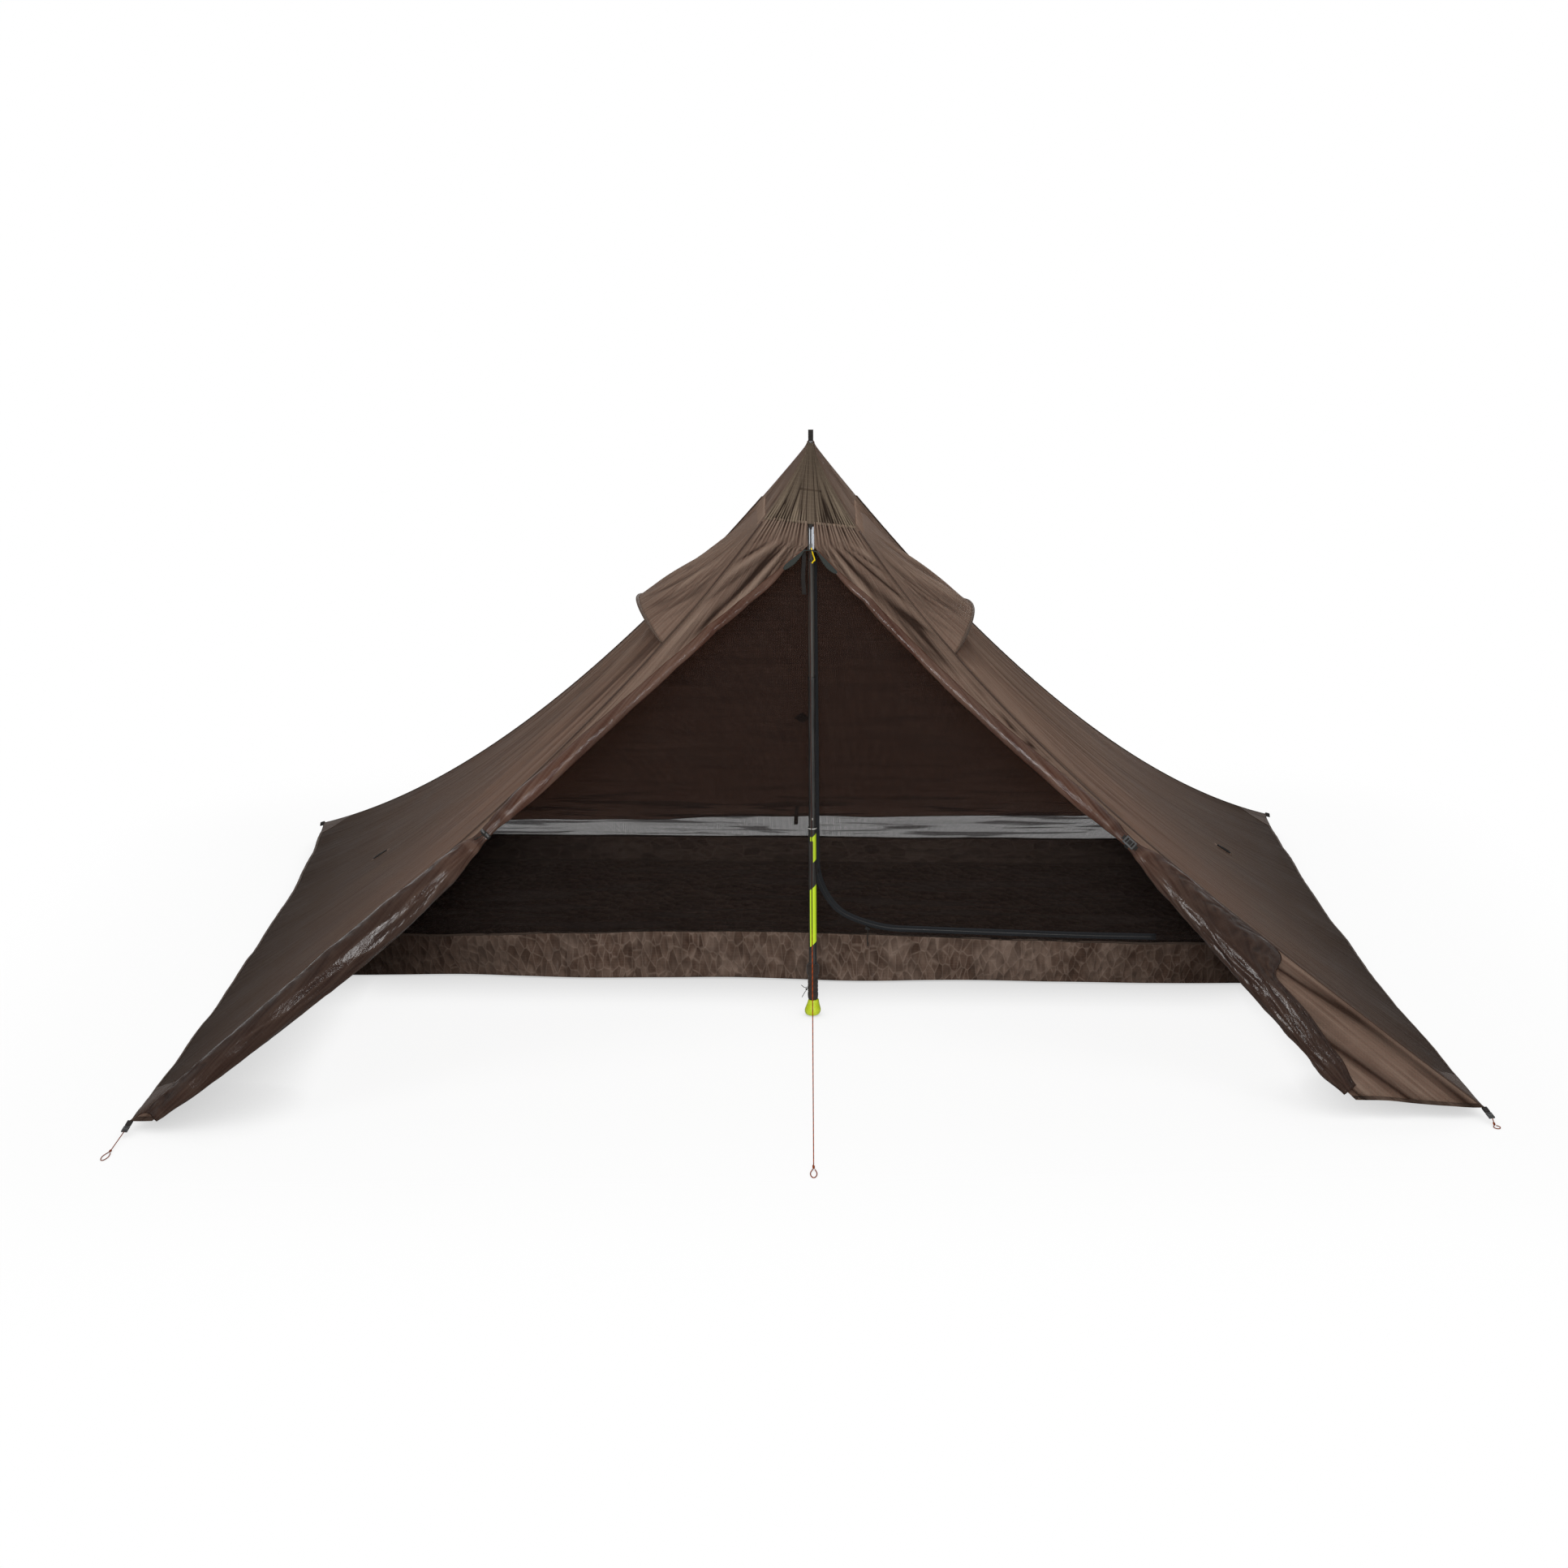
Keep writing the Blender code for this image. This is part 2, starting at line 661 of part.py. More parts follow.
def build_tie(side, word):
    run, across, out = door_frame(side, tie_share)
    centre = door_centre(side, tie_share)
    inner = tie_radius + tie_clear
    outer = inner + tie_band
    flat_inner = tie_radius * bundle_flatness_share + tie_clear
    rings = []
    for radius, low, place in ((inner, flat_inner, -0.5), (outer, flat_inner + tie_band, -0.5),
                               (outer, flat_inner + tie_band, 0.5), (inner, flat_inner, 0.5)):
        rings.append(ring(centre + run * (tie_width * place), across, out, radius, low, 16))
    loft(f"{word}_door_tie", rings, black_webbing, looped=True)
    seat = centre + out * (flat_inner + tie_band + fit_gap)
    if side == left:
        middle = seat + out * toggle_radius
        rings = [ring(middle + across * (toggle_length * place), run, out,
                      toggle_radius * share, toggle_radius * share, 12)
                 for place, share in ((-0.5, 0.6), (-0.44, 1.0), (-0.10, 1.0), (0.0, 0.78), (0.10, 1.0),
                                      (0.44, 1.0), (0.5, 0.6))]
        loft("left_door_toggle", rings, black_plastic)
    else:
        middle = seat + out * (buckle_thickness / 2)
        ladder_lock("right_door_buckle", middle, run, across, buckle_length, buckle_width,
                    buckle_thickness, black_plastic)


# Front fly from each hip to the middle of its rolled door. It also closes the front above the doors.
def strip_edge(side, down):
    if down < zip_foot_share:
        clear = (zip_half_width + seam_gap) / panel_width("front", down)
        return 0.5 - clear if side == left else 0.5 + clear
    return read_table(door_line(side), down)


def build_strip(side, word):
    downs = panel_down_shares[:-1]

    def edges(down):
        inset = edge_back / panel_width("front", down)
        if side == left:
            return inset, strip_edge(side, down)
        return strip_edge(side, down), 1.0 - inset

    rows = fly_rows("front", downs, edges, row_shares(0.0, 1.0, strip_columns))
    sheet(f"fly_front_{word}_strip", rows, fly_cloth, cloth)


# Vents high on both sides: a hood with a stiff brim over a net window

def hood_point(panel, along, around):
    down = vent_top_share + (vent_foot_share - vent_top_share) * along
    across = from_front(panel, vent_start_share + (vent_span_share - vent_start_share) * around)
    lift = cloth + fit_gap * 2 + vent_lift * along * sin(pi * around) ** 0.75
    return fly_point(panel, down, across) + outward(panel, down, across) * lift


def outward(panel, down, across):
    normal = fly_normal(panel, down, across)
    return normal if normal.z > 0 else -normal


def build_vents():
    for panel in ("left", "right"):
        steps = hood_columns
        rows = [[hood_point(panel, i / hood_rows, j / steps) for j in range(steps + 1)]
                for i in range(hood_rows + 1)]
        sheet(f"vent_{panel}_hood", rows, fly_cloth, cloth)
        rings = []
        for j in range(steps + 1):
            edge = hood_point(panel, 1.0, j / steps)
            run = (edge - hood_point(panel, 0.97, j / steps)).normalized()
            before = hood_point(panel, 1.0, max(j - 1, 0) / steps)
            after = hood_point(panel, 1.0, min(j + 1, steps) / steps)
            along = (after - before).normalized()
            lift = run.cross(along).normalized()
            radius = brim_radius * (brim_end_share if j in (0, steps) else 1.0)
            centre = edge + run * (radius + fit_gap)
            rings.append(ring(centre, run, lift, radius, radius, 8))
        loft(f"vent_{panel}_brim", rings, black_webbing)
        lap = vent_lap / apex_height
        downs = row_shares(vent_window_top_share - lap * 2, vent_window_foot_share + lap * 2, 4)

        def edges(down, panel=panel):
            start = from_front(panel, vent_window_start_share - lap * 3)
            return start, from_front(panel, vent_window_end_share + lap * 3)

        lift = -(cloth / 2 + net_cloth / 2 + fit_gap * 2)
        rows = []
        for down in downs:
            start, end = edges(down)
            shares = row_shares(start, end, 3)
            rows.append([fly_point(panel, down, s) + outward(panel, down, s) * lift for s in shares])
        sheet(f"vent_{panel}_net", rows, black_net, net_cloth)


# Fly zip: a straight closed length above the doors, its slider at the foot

def zip_line():
    top = fly_point("front", crown_end_share + crown_joint * 2, 0.5)
    foot = fly_point("front", zip_foot_share, 0.5)
    run = (foot - top).normalized()
    out = Vector((1, 0, 0)).cross(run).normalized()
    if out.y > 0:
        out = -out
    return top, foot, run, out


def build_fly_zip():
    top, foot, run, out = zip_line()
    side = Vector((1, 0, 0))
    places = (-zip_half_width, 0.0, zip_half_width)
    rows = [[top.lerp(foot, k / 4) + side * x for x in places] for k in range(5)]
    sheet("fly_zip_tape", rows, zip_tape_finish, cloth)
    seat = foot - run * (slider_length / 2) + out * (cloth / 2 + fit_gap)
    rings = [ring(seat + out * (slider_height * place), side, run, slider_width / 2 * wide,
                  slider_length / 2 * long, 12)
             for place, wide, long in slider_shares]
    loft("fly_zip_slider", rings, black_plastic)
    eye = foot - run * (slider_length * 0.15) + side * (slider_width * 0.20)
    eye += out * (cloth / 2 + fit_gap * 2 + slider_height + pull_radius)
    pull_rings = []
    for place, share in ((0.0, 0.75), (0.06, 1.0), (0.34, 1.0), (0.52, 1.0), (0.70, 1.05), (0.84, 1.55),
                         (0.95, 1.45), (1.0, 0.7)):
        sway = side * (pull_length * 0.12 * sin(pi * place))
        centre = eye + Vector((0, 0, -pull_length * place)) + sway
        pull_rings.append(ring(centre, side, Vector((0, 1, 0)), pull_radius * share, pull_radius * share, 10))
    loft("fly_zip_pull", pull_rings, yellow_cord)
    patch_foot = top + run * (top_patch_height / 2) + out * (cloth + fit_gap * 2)
    rows = []
    for share, wide in ((-0.5, 1.0), (0.0, 0.6), (0.5, 0.22)):
        middle = patch_foot + run * (top_patch_height * share)
        rows.append([middle + side * (top_patch_width / 2 * wide * x) for x in (-1, 0, 1)])
    sheet("fly_zip_top_patch", rows, black_webbing, webbing / 2)
    return foot, eye, run, out


# A strap sewn behind the cloth beside the zip, hanging straight down from there
def build_hanging_strap(foot):
    width = panel_width("front", zip_foot_share)
    across = 0.5 - hanging_strap_offset / width
    back = front_out(zip_foot_share) * -(cloth / 2 + webbing / 2 + seam_gap)
    middles = [fly_point("front", down, across) + back for down in (crown_end_share + 0.008, zip_foot_share)]
    start = middles[-1] + Vector((0, fit_gap, 0))
    for k in range(1, 5):
        middles.append(start + Vector((0, 0, -hanging_strap_length * k / 4)))
    rows = [[middle + Vector((hanging_strap_width / 2 * x, 0, 0)) for x in (-1, 1)] for middle in middles]
    sheet("crown_hanging_strap", rows, black_webbing, webbing)


# Cords that end in a tied loop on the ground. The loop is part of the cord and closes on a knot.

def tied_loop(start, end, diameter, run_points):
    run = (end - start)
    flat = Vector((run.x, run.y, 0.0)).normalized()
    side = Vector((-flat.y, flat.x, 0.0))
    reach = min(loop_length, run.length * 0.60)
    knot = end - flat * reach
    level = diameter / 2
    knot.z = max(knot.z, level * knot_swell_share)
    straight = [start.lerp(knot, k / run_points) for k in range(run_points + 1)]
    loop = []
    for across, along in ((-0.75, 0.30), (-1.0, 0.60), (-0.62, 0.90), (0.0, 1.0), (0.62, 0.90), (1.0, 0.60),
                          (0.75, 0.30), (0.42, 0.12)):
        point = knot + flat * (reach * along) + side * (loop_half_width * across)
        loop.append(Vector((point.x, point.y, level)))
    return straight[:-1] + smooth_route([knot] + loop, 18), run_points


def build_cords(foot):
    level = guy_diameter / 2
    run = zip_line()[2]
    start = foot + run * fit_gap * 2 + Vector((-slider_width / 4, 0, 0))
    end = Vector((start.x - guy_aside, -guy_reach, level))
    points, knot = tied_loop(start, end, guy_diameter, 24)
    cord("front_guy_cord", points, guy_diameter, orange_cord, swell=(knot - 1, knot))
    for side, word, reach, aside in ((left, "left", left_peg_reach, left_peg_side),
                                     (right, "right", right_peg_reach, right_peg_side)):
        build_front_corner(side, word, reach, aside)
        direction = corner(side, False) - Vector((0, front_reach, apex_height / 2))
        base = corner(side, False)
        folded_tab(f"back_{word}_corner_tab", base, direction, Vector((1, side, 0)), tab_length,
                   webbing_width, black_webbing)


def build_front_corner(side, word, reach, aside):
    tip = corner(side, True)
    peg = tip + Vector((side * aside, -reach, 0.0))
    peg.z = corner_cord_diameter / 2
    fall = tip.z - tensioner_thickness / 2 - corner_cord_diameter
    direction = Vector((side * aside, -reach, 0.0)).normalized() * tensioner_length * 2
    direction.z = -fall / 2
    across = Vector((1, 0, 0)) - direction.normalized() * direction.normalized().x
    base = tip - direction.normalized() * fit_gap
    folded_tab(f"front_{word}_corner_tab", base, direction, across, tab_length, webbing_width, black_webbing)
    middle = base + direction.normalized() * (tab_length + fit_gap + tensioner_length / 2)
    ladder_lock(f"front_{word}_tensioner", middle, direction, across, tensioner_length, tensioner_width,
                tensioner_thickness, black_plastic)
    start = middle + direction.normalized() * (tensioner_length / 2 + fit_gap + corner_cord_diameter * 0.3)
    points, knot = tied_loop(start, peg, corner_cord_diameter, 6)
    cord(f"front_{word}_corner_cord", points, corner_cord_diameter, orange_cord, swell=(knot - 1, knot))


# Guy-out loops lying on the side panels, and the fittings of the back wall

def build_side_loops():
    for panel, word in (("left", "left"), ("right", "right")):
        across_share = from_front(panel, side_loop_across_share)
        slope = (fly_point(panel, side_loop_down_share + 0.01, across_share)
                 - fly_point(panel, side_loop_down_share - 0.01, across_share)).length / 0.02
        width = panel_width(panel, side_loop_down_share)
        lift = cloth / 2 + side_loop_radius + seam_gap
        points = []
        for k in range(16):
            angle = 2 * pi * k / 16
            pinch = 0.35 + 0.65 * (0.5 - 0.5 * cos(angle))
            down = side_loop_down_share - side_loop_length / 2 * cos(angle) / slope
            across = across_share + side_loop_half_width * pinch * sin(angle) / width
            points.append(fly_point(panel, down, across) + outward(panel, down, across) * lift)
        normal = outward(panel, side_loop_down_share, across_share)
        rings = []
        for k in range(16):
            tangent = (points[(k + 1) % 16] - points[k - 1]).normalized()
            across_way = tangent.cross(normal).normalized()
            rings.append(ring(points[k], normal, across_way, side_loop_radius, side_loop_radius, 6))
        loft(f"{word}_side_loop", rings, black_webbing, looped=True)


def build_back_wall():
    half_down = patch_half / apex_height
    half_across = patch_half / panel_width("back", patch_down_share)
    lift = -(cloth / 2 + webbing / 4 + fit_gap * 2)

    def spot(down_step, across_step):
        down = patch_down_share + half_down * down_step
        across = 0.5 + half_across * across_step
        return fly_point("back", down, across) + outward("back", down, across) * lift

    rows = [[spot(-1, 0), spot(-0.5, 0.5), spot(0, 1)], [spot(-0.5, -0.5), spot(0, 0), spot(0.5, 0.5)],
            [spot(0, -1), spot(0.5, -0.5), spot(1, 0)]]
    sheet("back_wall_patch", rows, black_webbing, webbing / 2)
    lift = -(cloth / 2 + webbing / 2 + fit_gap * 2)
    rows = []
    half = hem_strap_width / 2 / panel_width("back", 1.0)
    for down in row_shares(hem_strap_start_share, 1.0, 4):
        inward = outward("back", down, 0.5) * lift
        rows.append([fly_point("back", down, 0.5 + half * x) + inward for x in (-1, 1)])
    drop = (rows[-1][0] - rows[-2][0]).normalized()
    last = rows[-1]
    for share in (0.5, 1.0):
        fall = drop * (hem_strap_overhang * share) + Vector((0, 0, -hem_strap_overhang * share * 0.6))
        rows.append([point + fall for point in last])
    sheet("back_hem_strap", rows, black_webbing, webbing)


# Inner: tub floor, four net walls, a curved zip and the strap that hangs it from the crown

def tub_point(x, y, height):
    turn = Matrix.Rotation(tub_turn, 3, "Z")
    middle = Vector((base_shift, tub_front_offset + tub_depth / 2, 0.0))
    point = middle + turn @ Vector((x, y, 0.0))
    point.z = height
    return point


def wall_height(front_share):
    return tub_back_wall + (tub_front_wall - tub_back_wall) * front_share


def tub_ring(grow, height_at):
    half_length = tub_length / 2 + grow
    half_depth = tub_depth / 2 + grow
    points = []
    for k in range(8):
        points.append(tub_point(-half_length + 2 * half_length * k / 8, -half_depth, height_at(1.0)))
    for k in range(4):
        points.append(tub_point(half_length, -half_depth + 2 * half_depth * k / 4, height_at(1.0 - k / 4)))
    for k in range(8):
        points.append(tub_point(half_length - 2 * half_length * k / 8, half_depth, height_at(0.0)))
    for k in range(4):
        points.append(tub_point(-half_length, half_depth - 2 * half_depth * k / 4, height_at(k / 4)))
    return points


def build_tub():
    rings = [tub_ring(-tub_flare, lambda share: 0.0), tub_ring(0.0, wall_height),
             tub_ring(-tub_sheet, wall_height), tub_ring(-tub_flare - tub_sheet, lambda share: tub_sheet)]
    loft("inner_tub_floor", rings, tub_cloth)


inner_crown = Vector((0.0, inner_crown_back, inner_crown_height))


def tub_corner(side, front):
    half_length = tub_length / 2 - tub_sheet / 2
    half_depth = tub_depth / 2 - tub_sheet / 2
    height = (tub_front_wall if front else tub_back_wall) + seam_gap + net_cloth / 4
    return tub_point(side * half_length, -half_depth if front else half_depth, height)


# The front wall of the inner is a flat plane, so its zip can run on a true arc
def front_plane():
    low_left = tub_corner(left, True)
    low_right = tub_corner(right, True)
    along = (low_right - low_left).normalized()
    normal = along.cross(inner_crown - low_left).normalized()
    if normal.y > 0:
        normal = -normal
    return low_left, along, normal


def onto_front_plane(point):
    origin, along, normal = front_plane()
    result = point.copy()
    result.y = origin.y - (normal.x * (point.x - origin.x) + normal.z * (point.z - origin.z)) / normal.y
    return result


def inner_hip(side, front, down):
    point = inner_crown.lerp(tub_corner(side, front), down)
    point.z -= inner_hip_sag * 4 * down * (1 - down)
    return onto_front_plane(point) if front else point


def build_nets():
    downs = row_shares(inner_start_share, 1.0, net_rows)
    walls = {"front": ((left, True), (right, True), 4), "right": ((right, True), (right, False), 3),
             "back": ((right, False), (left, False), 4), "left": ((left, False), (left, True), 3)}
    for word, (first, second, columns) in walls.items():
        rows = []
        for down in downs:
            start = inner_hip(*first, down)
            end = inner_hip(*second, down)
            inset = edge_back / (end - start).length
            rows.append([start.lerp(end, s) for s in row_shares(inset, 1.0 - inset, columns)])
        sheet(f"inner_{word}_net", rows, black_net, net_cloth)


# Places along the zip: straight down, round the arc, then along the top of the tub wall
def zip_frame():
    origin, along, normal = front_plane()
    up = along.cross(normal)
    if up.z < 0:
        up = -up
    foot = onto_front_plane(Vector((zip_line_offset + zip_arc_radius, 0.0,
                                    tub_front_wall + zip_floor_rise + zip_arc_radius)))
    return foot, along, up, normal


def build_inner_zip():
    centre, along, up, normal = zip_frame()
    lift = normal * (net_cloth / 2 + webbing / 4 + fit_gap)
    half = inner_tape_width / 2
    rows = []

    def cross_row(middle, outward_way):
        rows.append([middle + lift - outward_way * half, middle + lift + outward_way * half])

    rise = (zip_top_height - centre.z) / up.z
    for share in row_shares(1.0, 0.0, 8)[:-1]:
        cross_row(centre - along * zip_arc_radius + up * (rise * share), -along)
    for k in range(13):
        angle = pi / 2 * (1 - k / 12)
        way = -along * sin(angle) - up * cos(angle)
        cross_row(centre + way * zip_arc_radius, way)
    for share in row_shares(0.0, 1.0, 6)[1:]:
        cross_row(centre - up * zip_arc_radius + along * (zip_run * share), -up)
    sheet("inner_zip_tape", rows, inner_tape_finish, webbing / 2)
    way = -along * sin(slider_rest_angle) - up * cos(slider_rest_angle)
    run = along * cos(slider_rest_angle) - up * sin(slider_rest_angle)
    seat = centre + way * zip_arc_radius + normal * (net_cloth / 2 + webbing / 2 + fit_gap * 2)
    rings = [ring(seat + normal * (slider_height * place), way, run, slider_width / 2 * wide,
                  slider_length / 2 * long, 12)
             for place, wide, long in slider_shares]
    loft("inner_zip_slider", rings, black_plastic)
    eye = seat + normal * (slider_height + pull_radius + fit_gap)
    rings = []
    for place, share in ((0.0, 0.75), (0.06, 1.0), (0.45, 1.0), (0.70, 1.05), (0.84, 1.5), (0.95, 1.4),
                         (1.0, 0.7)):
        middle = eye + normal * (pull_length * place * 0.45) + Vector((0, 0, -pull_length * place))
        radius = pull_radius * share
        rings.append(ring(middle, along, Vector((0, 1, 0)), radius, radius, 10))
    loft("inner_zip_pull", rings, dark_cord)
    return centre, eye, normal, along


def build_crown_strap(cup_top):
    start = inner_hip(left, False, inner_start_share).lerp(inner_hip(right, False, inner_start_share), 0.5)
    start = Vector((0.0, start.y, start.z + seam_gap + net_cloth))
    end = Vector((0.0, cup_radius + fit_gap + webbing / 2, cup_top - cup_height * 0.4))
    low = Vector((0.0, end.y, cup_top - cup_height))
    bend = start.lerp(low, 0.9)
    rows = []
    for point in (start, start.lerp(bend, 0.5), bend, low, end):
        rows.append([point + Vector((crown_strap_width / 2 * x, 0, 0)) for x in (-1, 1)])
    sheet("inner_crown_strap", rows, black_webbing, webbing)


build_fly_panels()
crown_top_height = build_crown()
tip_top_height = build_pole()
build_wrap_cord()
cup_top_height = build_crown_fittings(crown_top_height, tip_top_height)
build_doors()
build_vents()
zip_foot, zip_eye, zip_run_way, zip_out = build_fly_zip()
build_hanging_strap(zip_foot)
build_cords(zip_foot)
build_side_loops()
build_back_wall()
build_tub()
build_nets()
arc_centre, inner_eye, wall_normal, wall_along = build_inner_zip()
build_crown_strap(cup_top_height)

# Places that the joints turn on and run along
print("fly zip foot", [round(v, 5) for v in zip_foot], "run", [round(v, 5) for v in zip_run_way])
print("fly zip eye", [round(v, 5) for v in zip_eye])
print("inner arc centre", [round(v, 5) for v in arc_centre], "normal", [round(v, 5) for v in wall_normal])
print("inner eye", [round(v, 5) for v in inner_eye], "along", [round(v, 5) for v in wall_along])
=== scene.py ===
from math import atan2, cos, pi, radians, sin, sqrt

import bmesh
import bpy
from mathutils import Matrix, Vector, noise


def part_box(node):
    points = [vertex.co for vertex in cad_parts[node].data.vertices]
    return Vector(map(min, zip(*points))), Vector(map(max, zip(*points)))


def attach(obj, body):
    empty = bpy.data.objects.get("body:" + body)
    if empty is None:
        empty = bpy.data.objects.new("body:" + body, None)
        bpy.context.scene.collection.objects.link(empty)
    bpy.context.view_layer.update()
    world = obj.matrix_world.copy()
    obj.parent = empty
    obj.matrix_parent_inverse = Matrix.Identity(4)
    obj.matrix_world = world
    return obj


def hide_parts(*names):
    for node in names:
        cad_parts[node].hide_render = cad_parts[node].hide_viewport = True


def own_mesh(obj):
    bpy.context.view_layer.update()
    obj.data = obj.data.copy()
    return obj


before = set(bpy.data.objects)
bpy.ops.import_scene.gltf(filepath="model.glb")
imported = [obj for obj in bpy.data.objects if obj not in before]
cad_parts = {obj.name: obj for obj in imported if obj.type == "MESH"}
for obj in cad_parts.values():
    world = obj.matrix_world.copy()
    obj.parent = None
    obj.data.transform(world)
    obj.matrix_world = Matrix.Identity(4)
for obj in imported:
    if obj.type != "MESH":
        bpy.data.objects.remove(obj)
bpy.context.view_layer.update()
print("stage: frame loaded,", len(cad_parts), "nodes")

# Left and right in the photograph, the hips as (side, whether in front), and two thicknesses of cloth
left = -1
right = 1
bothSides = ((left, "left"), (right, "right"))
fourHips = ((left, True), (right, True), (left, False), (right, False))
upward = Vector((0, 0, 1))
thinCloth = 0.0005
fullCloth = 0.0006


# Camera, as the photograph was taken: its focal length in pixels of the 1932 pixel frame
camera = {"imagePixels": 1932, "focalPixels": 2675, "place": (-0.09, -4.729, 1.878),
          "yaw": -0.32, "pitch": 15.6, "roll": 0.44}


def buildCamera():
    data = bpy.data.cameras.new("photoCamera")
    holder = bpy.data.objects.new("photoCamera", data)
    bpy.context.scene.collection.objects.link(holder)
    bpy.context.scene.camera = holder
    data.sensor_width = 36.0
    data.lens = camera["focalPixels"] / camera["imagePixels"] * data.sensor_width
    aim = Matrix.Rotation(radians(camera["yaw"]), 3, "Z") @ Matrix.Rotation(radians(-camera["pitch"]), 3, "X")
    aim = aim @ Matrix.Rotation(radians(camera["roll"]), 3, "Y")
    look = Matrix((aim.col[0], aim.col[2], -aim.col[1])).transposed()
    holder.matrix_world = Matrix.Translation(camera["place"]) @ look.to_4x4()


white = (1.0, 1.0, 1.0, 1.0)

# Studio: a white room, a soft lamp in front, a small one over the crown and a weaker one behind
studio = {"roomLight": 0.15, "floorHalf": 4.0, "floorColour": "#f7f7f6", "floorDrop": 0.0006, "lit": 0.90,
          "contact": 0.22, "darkest": 0.62, "middle": (0.0, 0.40, 0.0), "clear": (1.30, 1.00, 1.0),
          "fade": 0.9,
          "lamps": (("frontLamp", (-0.3, -5.2, 2.5), (0.0, 0.0, 0.6), 1.5, 235.0),
                    ("crownLamp", (0.0, -0.2, 3.2), (0.0, 0.1, 0.6), 0.9, 30.0),
                    ("rearLamp", (0.8, 4.2, 3.4), (0.0, 0.3, 0.6), 2.6, 90.0))}


def buildStudio():
    scene = bpy.context.scene
    scene.view_settings.view_transform = "Standard"
    world = bpy.data.worlds.new("whiteRoom")
    world.use_nodes = True
    scene.world = world
    tree = world.node_tree
    rays = addNode(tree, "LightPath").node.outputs
    seen = rays["Is Camera Ray"]
    for ray in ("Is Glossy Ray", "Is Transmission Ray"):
        seen = addNode(tree, "Math", {"operation": "MAXIMUM", 0: seen, 1: rays[ray]})
    power = addNode(tree, "MapRange", (seen, 0.0, 1.0, studio["roomLight"], 1.0))
    background = tree.nodes["Background"]
    background.inputs["Color"].default_value = white
    tree.links.new(power, background.inputs["Strength"])
    bm = bmesh.new()
    bmesh.ops.create_grid(bm, x_segments=1, y_segments=1, size=studio["floorHalf"],
                          matrix=Matrix.Translation((0.0, 0.0, -studio["floorDrop"])))
    floor = finishMesh("studioFloor", bm, paperFloor())
    for name, place, target, size, power in studio["lamps"]:
        data = bpy.data.lights.new(name, "AREA")
        data.size = size
        data.energy = power
        lamp = bpy.data.objects.new(name, data)
        scene.collection.objects.link(lamp)
        lamp.location = place
        lamp.rotation_euler = (Vector(target) - Vector(place)).to_track_quat("-Z", "Y").to_euler()


# Materials

def linearColour(code):
    parts = [int(code[k:k + 2], 16) / 255 for k in (1, 3, 5)]
    return tuple(p / 12.92 if p <= 0.04045 else ((p + 0.055) / 1.055) ** 2.4 for p in parts) + (1.0,)


# Adds a node and gives one of its outputs. Each value goes to the node's own property of that name, or else
# to its input, by name or number: a colour code is turned to linear, and another node's output is linked.
def addNode(tree, kind, values=(), output=0):
    node = tree.nodes.new("ShaderNode" + kind)
    for name, value in values.items() if isinstance(values, dict) else enumerate(values):
        if isinstance(name, str) and hasattr(node, name):
            setattr(node, name, value)
        elif isinstance(value, bpy.types.NodeSocket):
            tree.links.new(value, node.inputs[name])
        else:
            node.inputs[name].default_value = linearColour(value) if isinstance(value, str) else value
    return node.outputs[output]


def startMaterial(name, settings):
    material = bpy.data.materials.new(name)
    material.use_nodes = True
    shader = material.node_tree.nodes["Principled BSDF"]
    for socket, value in settings.items():
        shader.inputs[socket].default_value = value
    return material, material.node_tree, shader


def wire(tree, shader, links):
    for socket, source in links.items():
        tree.links.new(source, shader.inputs[socket])


def toSurface(tree, output):
    tree.links.new(output, tree.nodes["Material Output"].inputs["Surface"])


# Lays a colour over a tone as far as a value says. Ends are the value's least and most, and the shares that
# they stand for.
def layColour(tree, tone, value, ends, colour):
    share = addNode(tree, "MapRange", (value, *ends))
    return addNode(tree, "Mix", {"data_type": "RGBA", 0: share, 6: tone, 7: colour}, 2)


# White paper. The camera sees it mostly at full white, so that only a light shadow is left on it, and it
# fades into the white room a little way outside the tent.
def paperFloor():
    material, tree, shader = startMaterial("mattPaper", {"Roughness": 0.9, "Specular IOR Level": 0.0,
                                                         "Base Color": linearColour(studio["floorColour"])})
    reach = addNode(tree, "TexCoord", output="Object")
    for operation, value in (("SUBTRACT", studio["middle"]), ("ABSOLUTE", (0, 0, 0)),
                             ("SUBTRACT", studio["clear"]), ("MAXIMUM", (0, 0, 0))):
        reach = addNode(tree, "VectorMath", {"operation": operation, 0: reach, 1: value})
    reach = addNode(tree, "VectorMath", {"operation": "LENGTH", 0: reach}, "Value")
    fade = addNode(tree, "MapRange", {"interpolation_type": "SMOOTHSTEP", "From Max": studio["fade"],
                                      "Value": reach})
    share = addNode(tree, "MapRange", (addNode(tree, "LightPath", output="Is Camera Ray"), 0.0, 1.0, 0.0,
                                       studio["lit"]))
    # The soft shadow that gathers close to the cloth
    close = addNode(tree, "AmbientOcclusion", {"samples": 12, "Distance": studio["contact"]}, "AO")
    close = addNode(tree, "MapRange", (close, 0.15, 0.92, studio["darkest"], 1.0))
    paper = addNode(tree, "Emission", {"Color": white, "Strength": close})
    lit = addNode(tree, "MixShader", (share, shader.outputs[0], paper))
    toSurface(tree, addNode(tree, "MixShader", (fade, lit, addNode(tree, "BsdfTransparent"))))
    return material


# Colours of painted shade: in the creases of folds, and over cloth that lies in the dark
foldShadeColour, shadeDark = "#1c120d", "#1f130d"


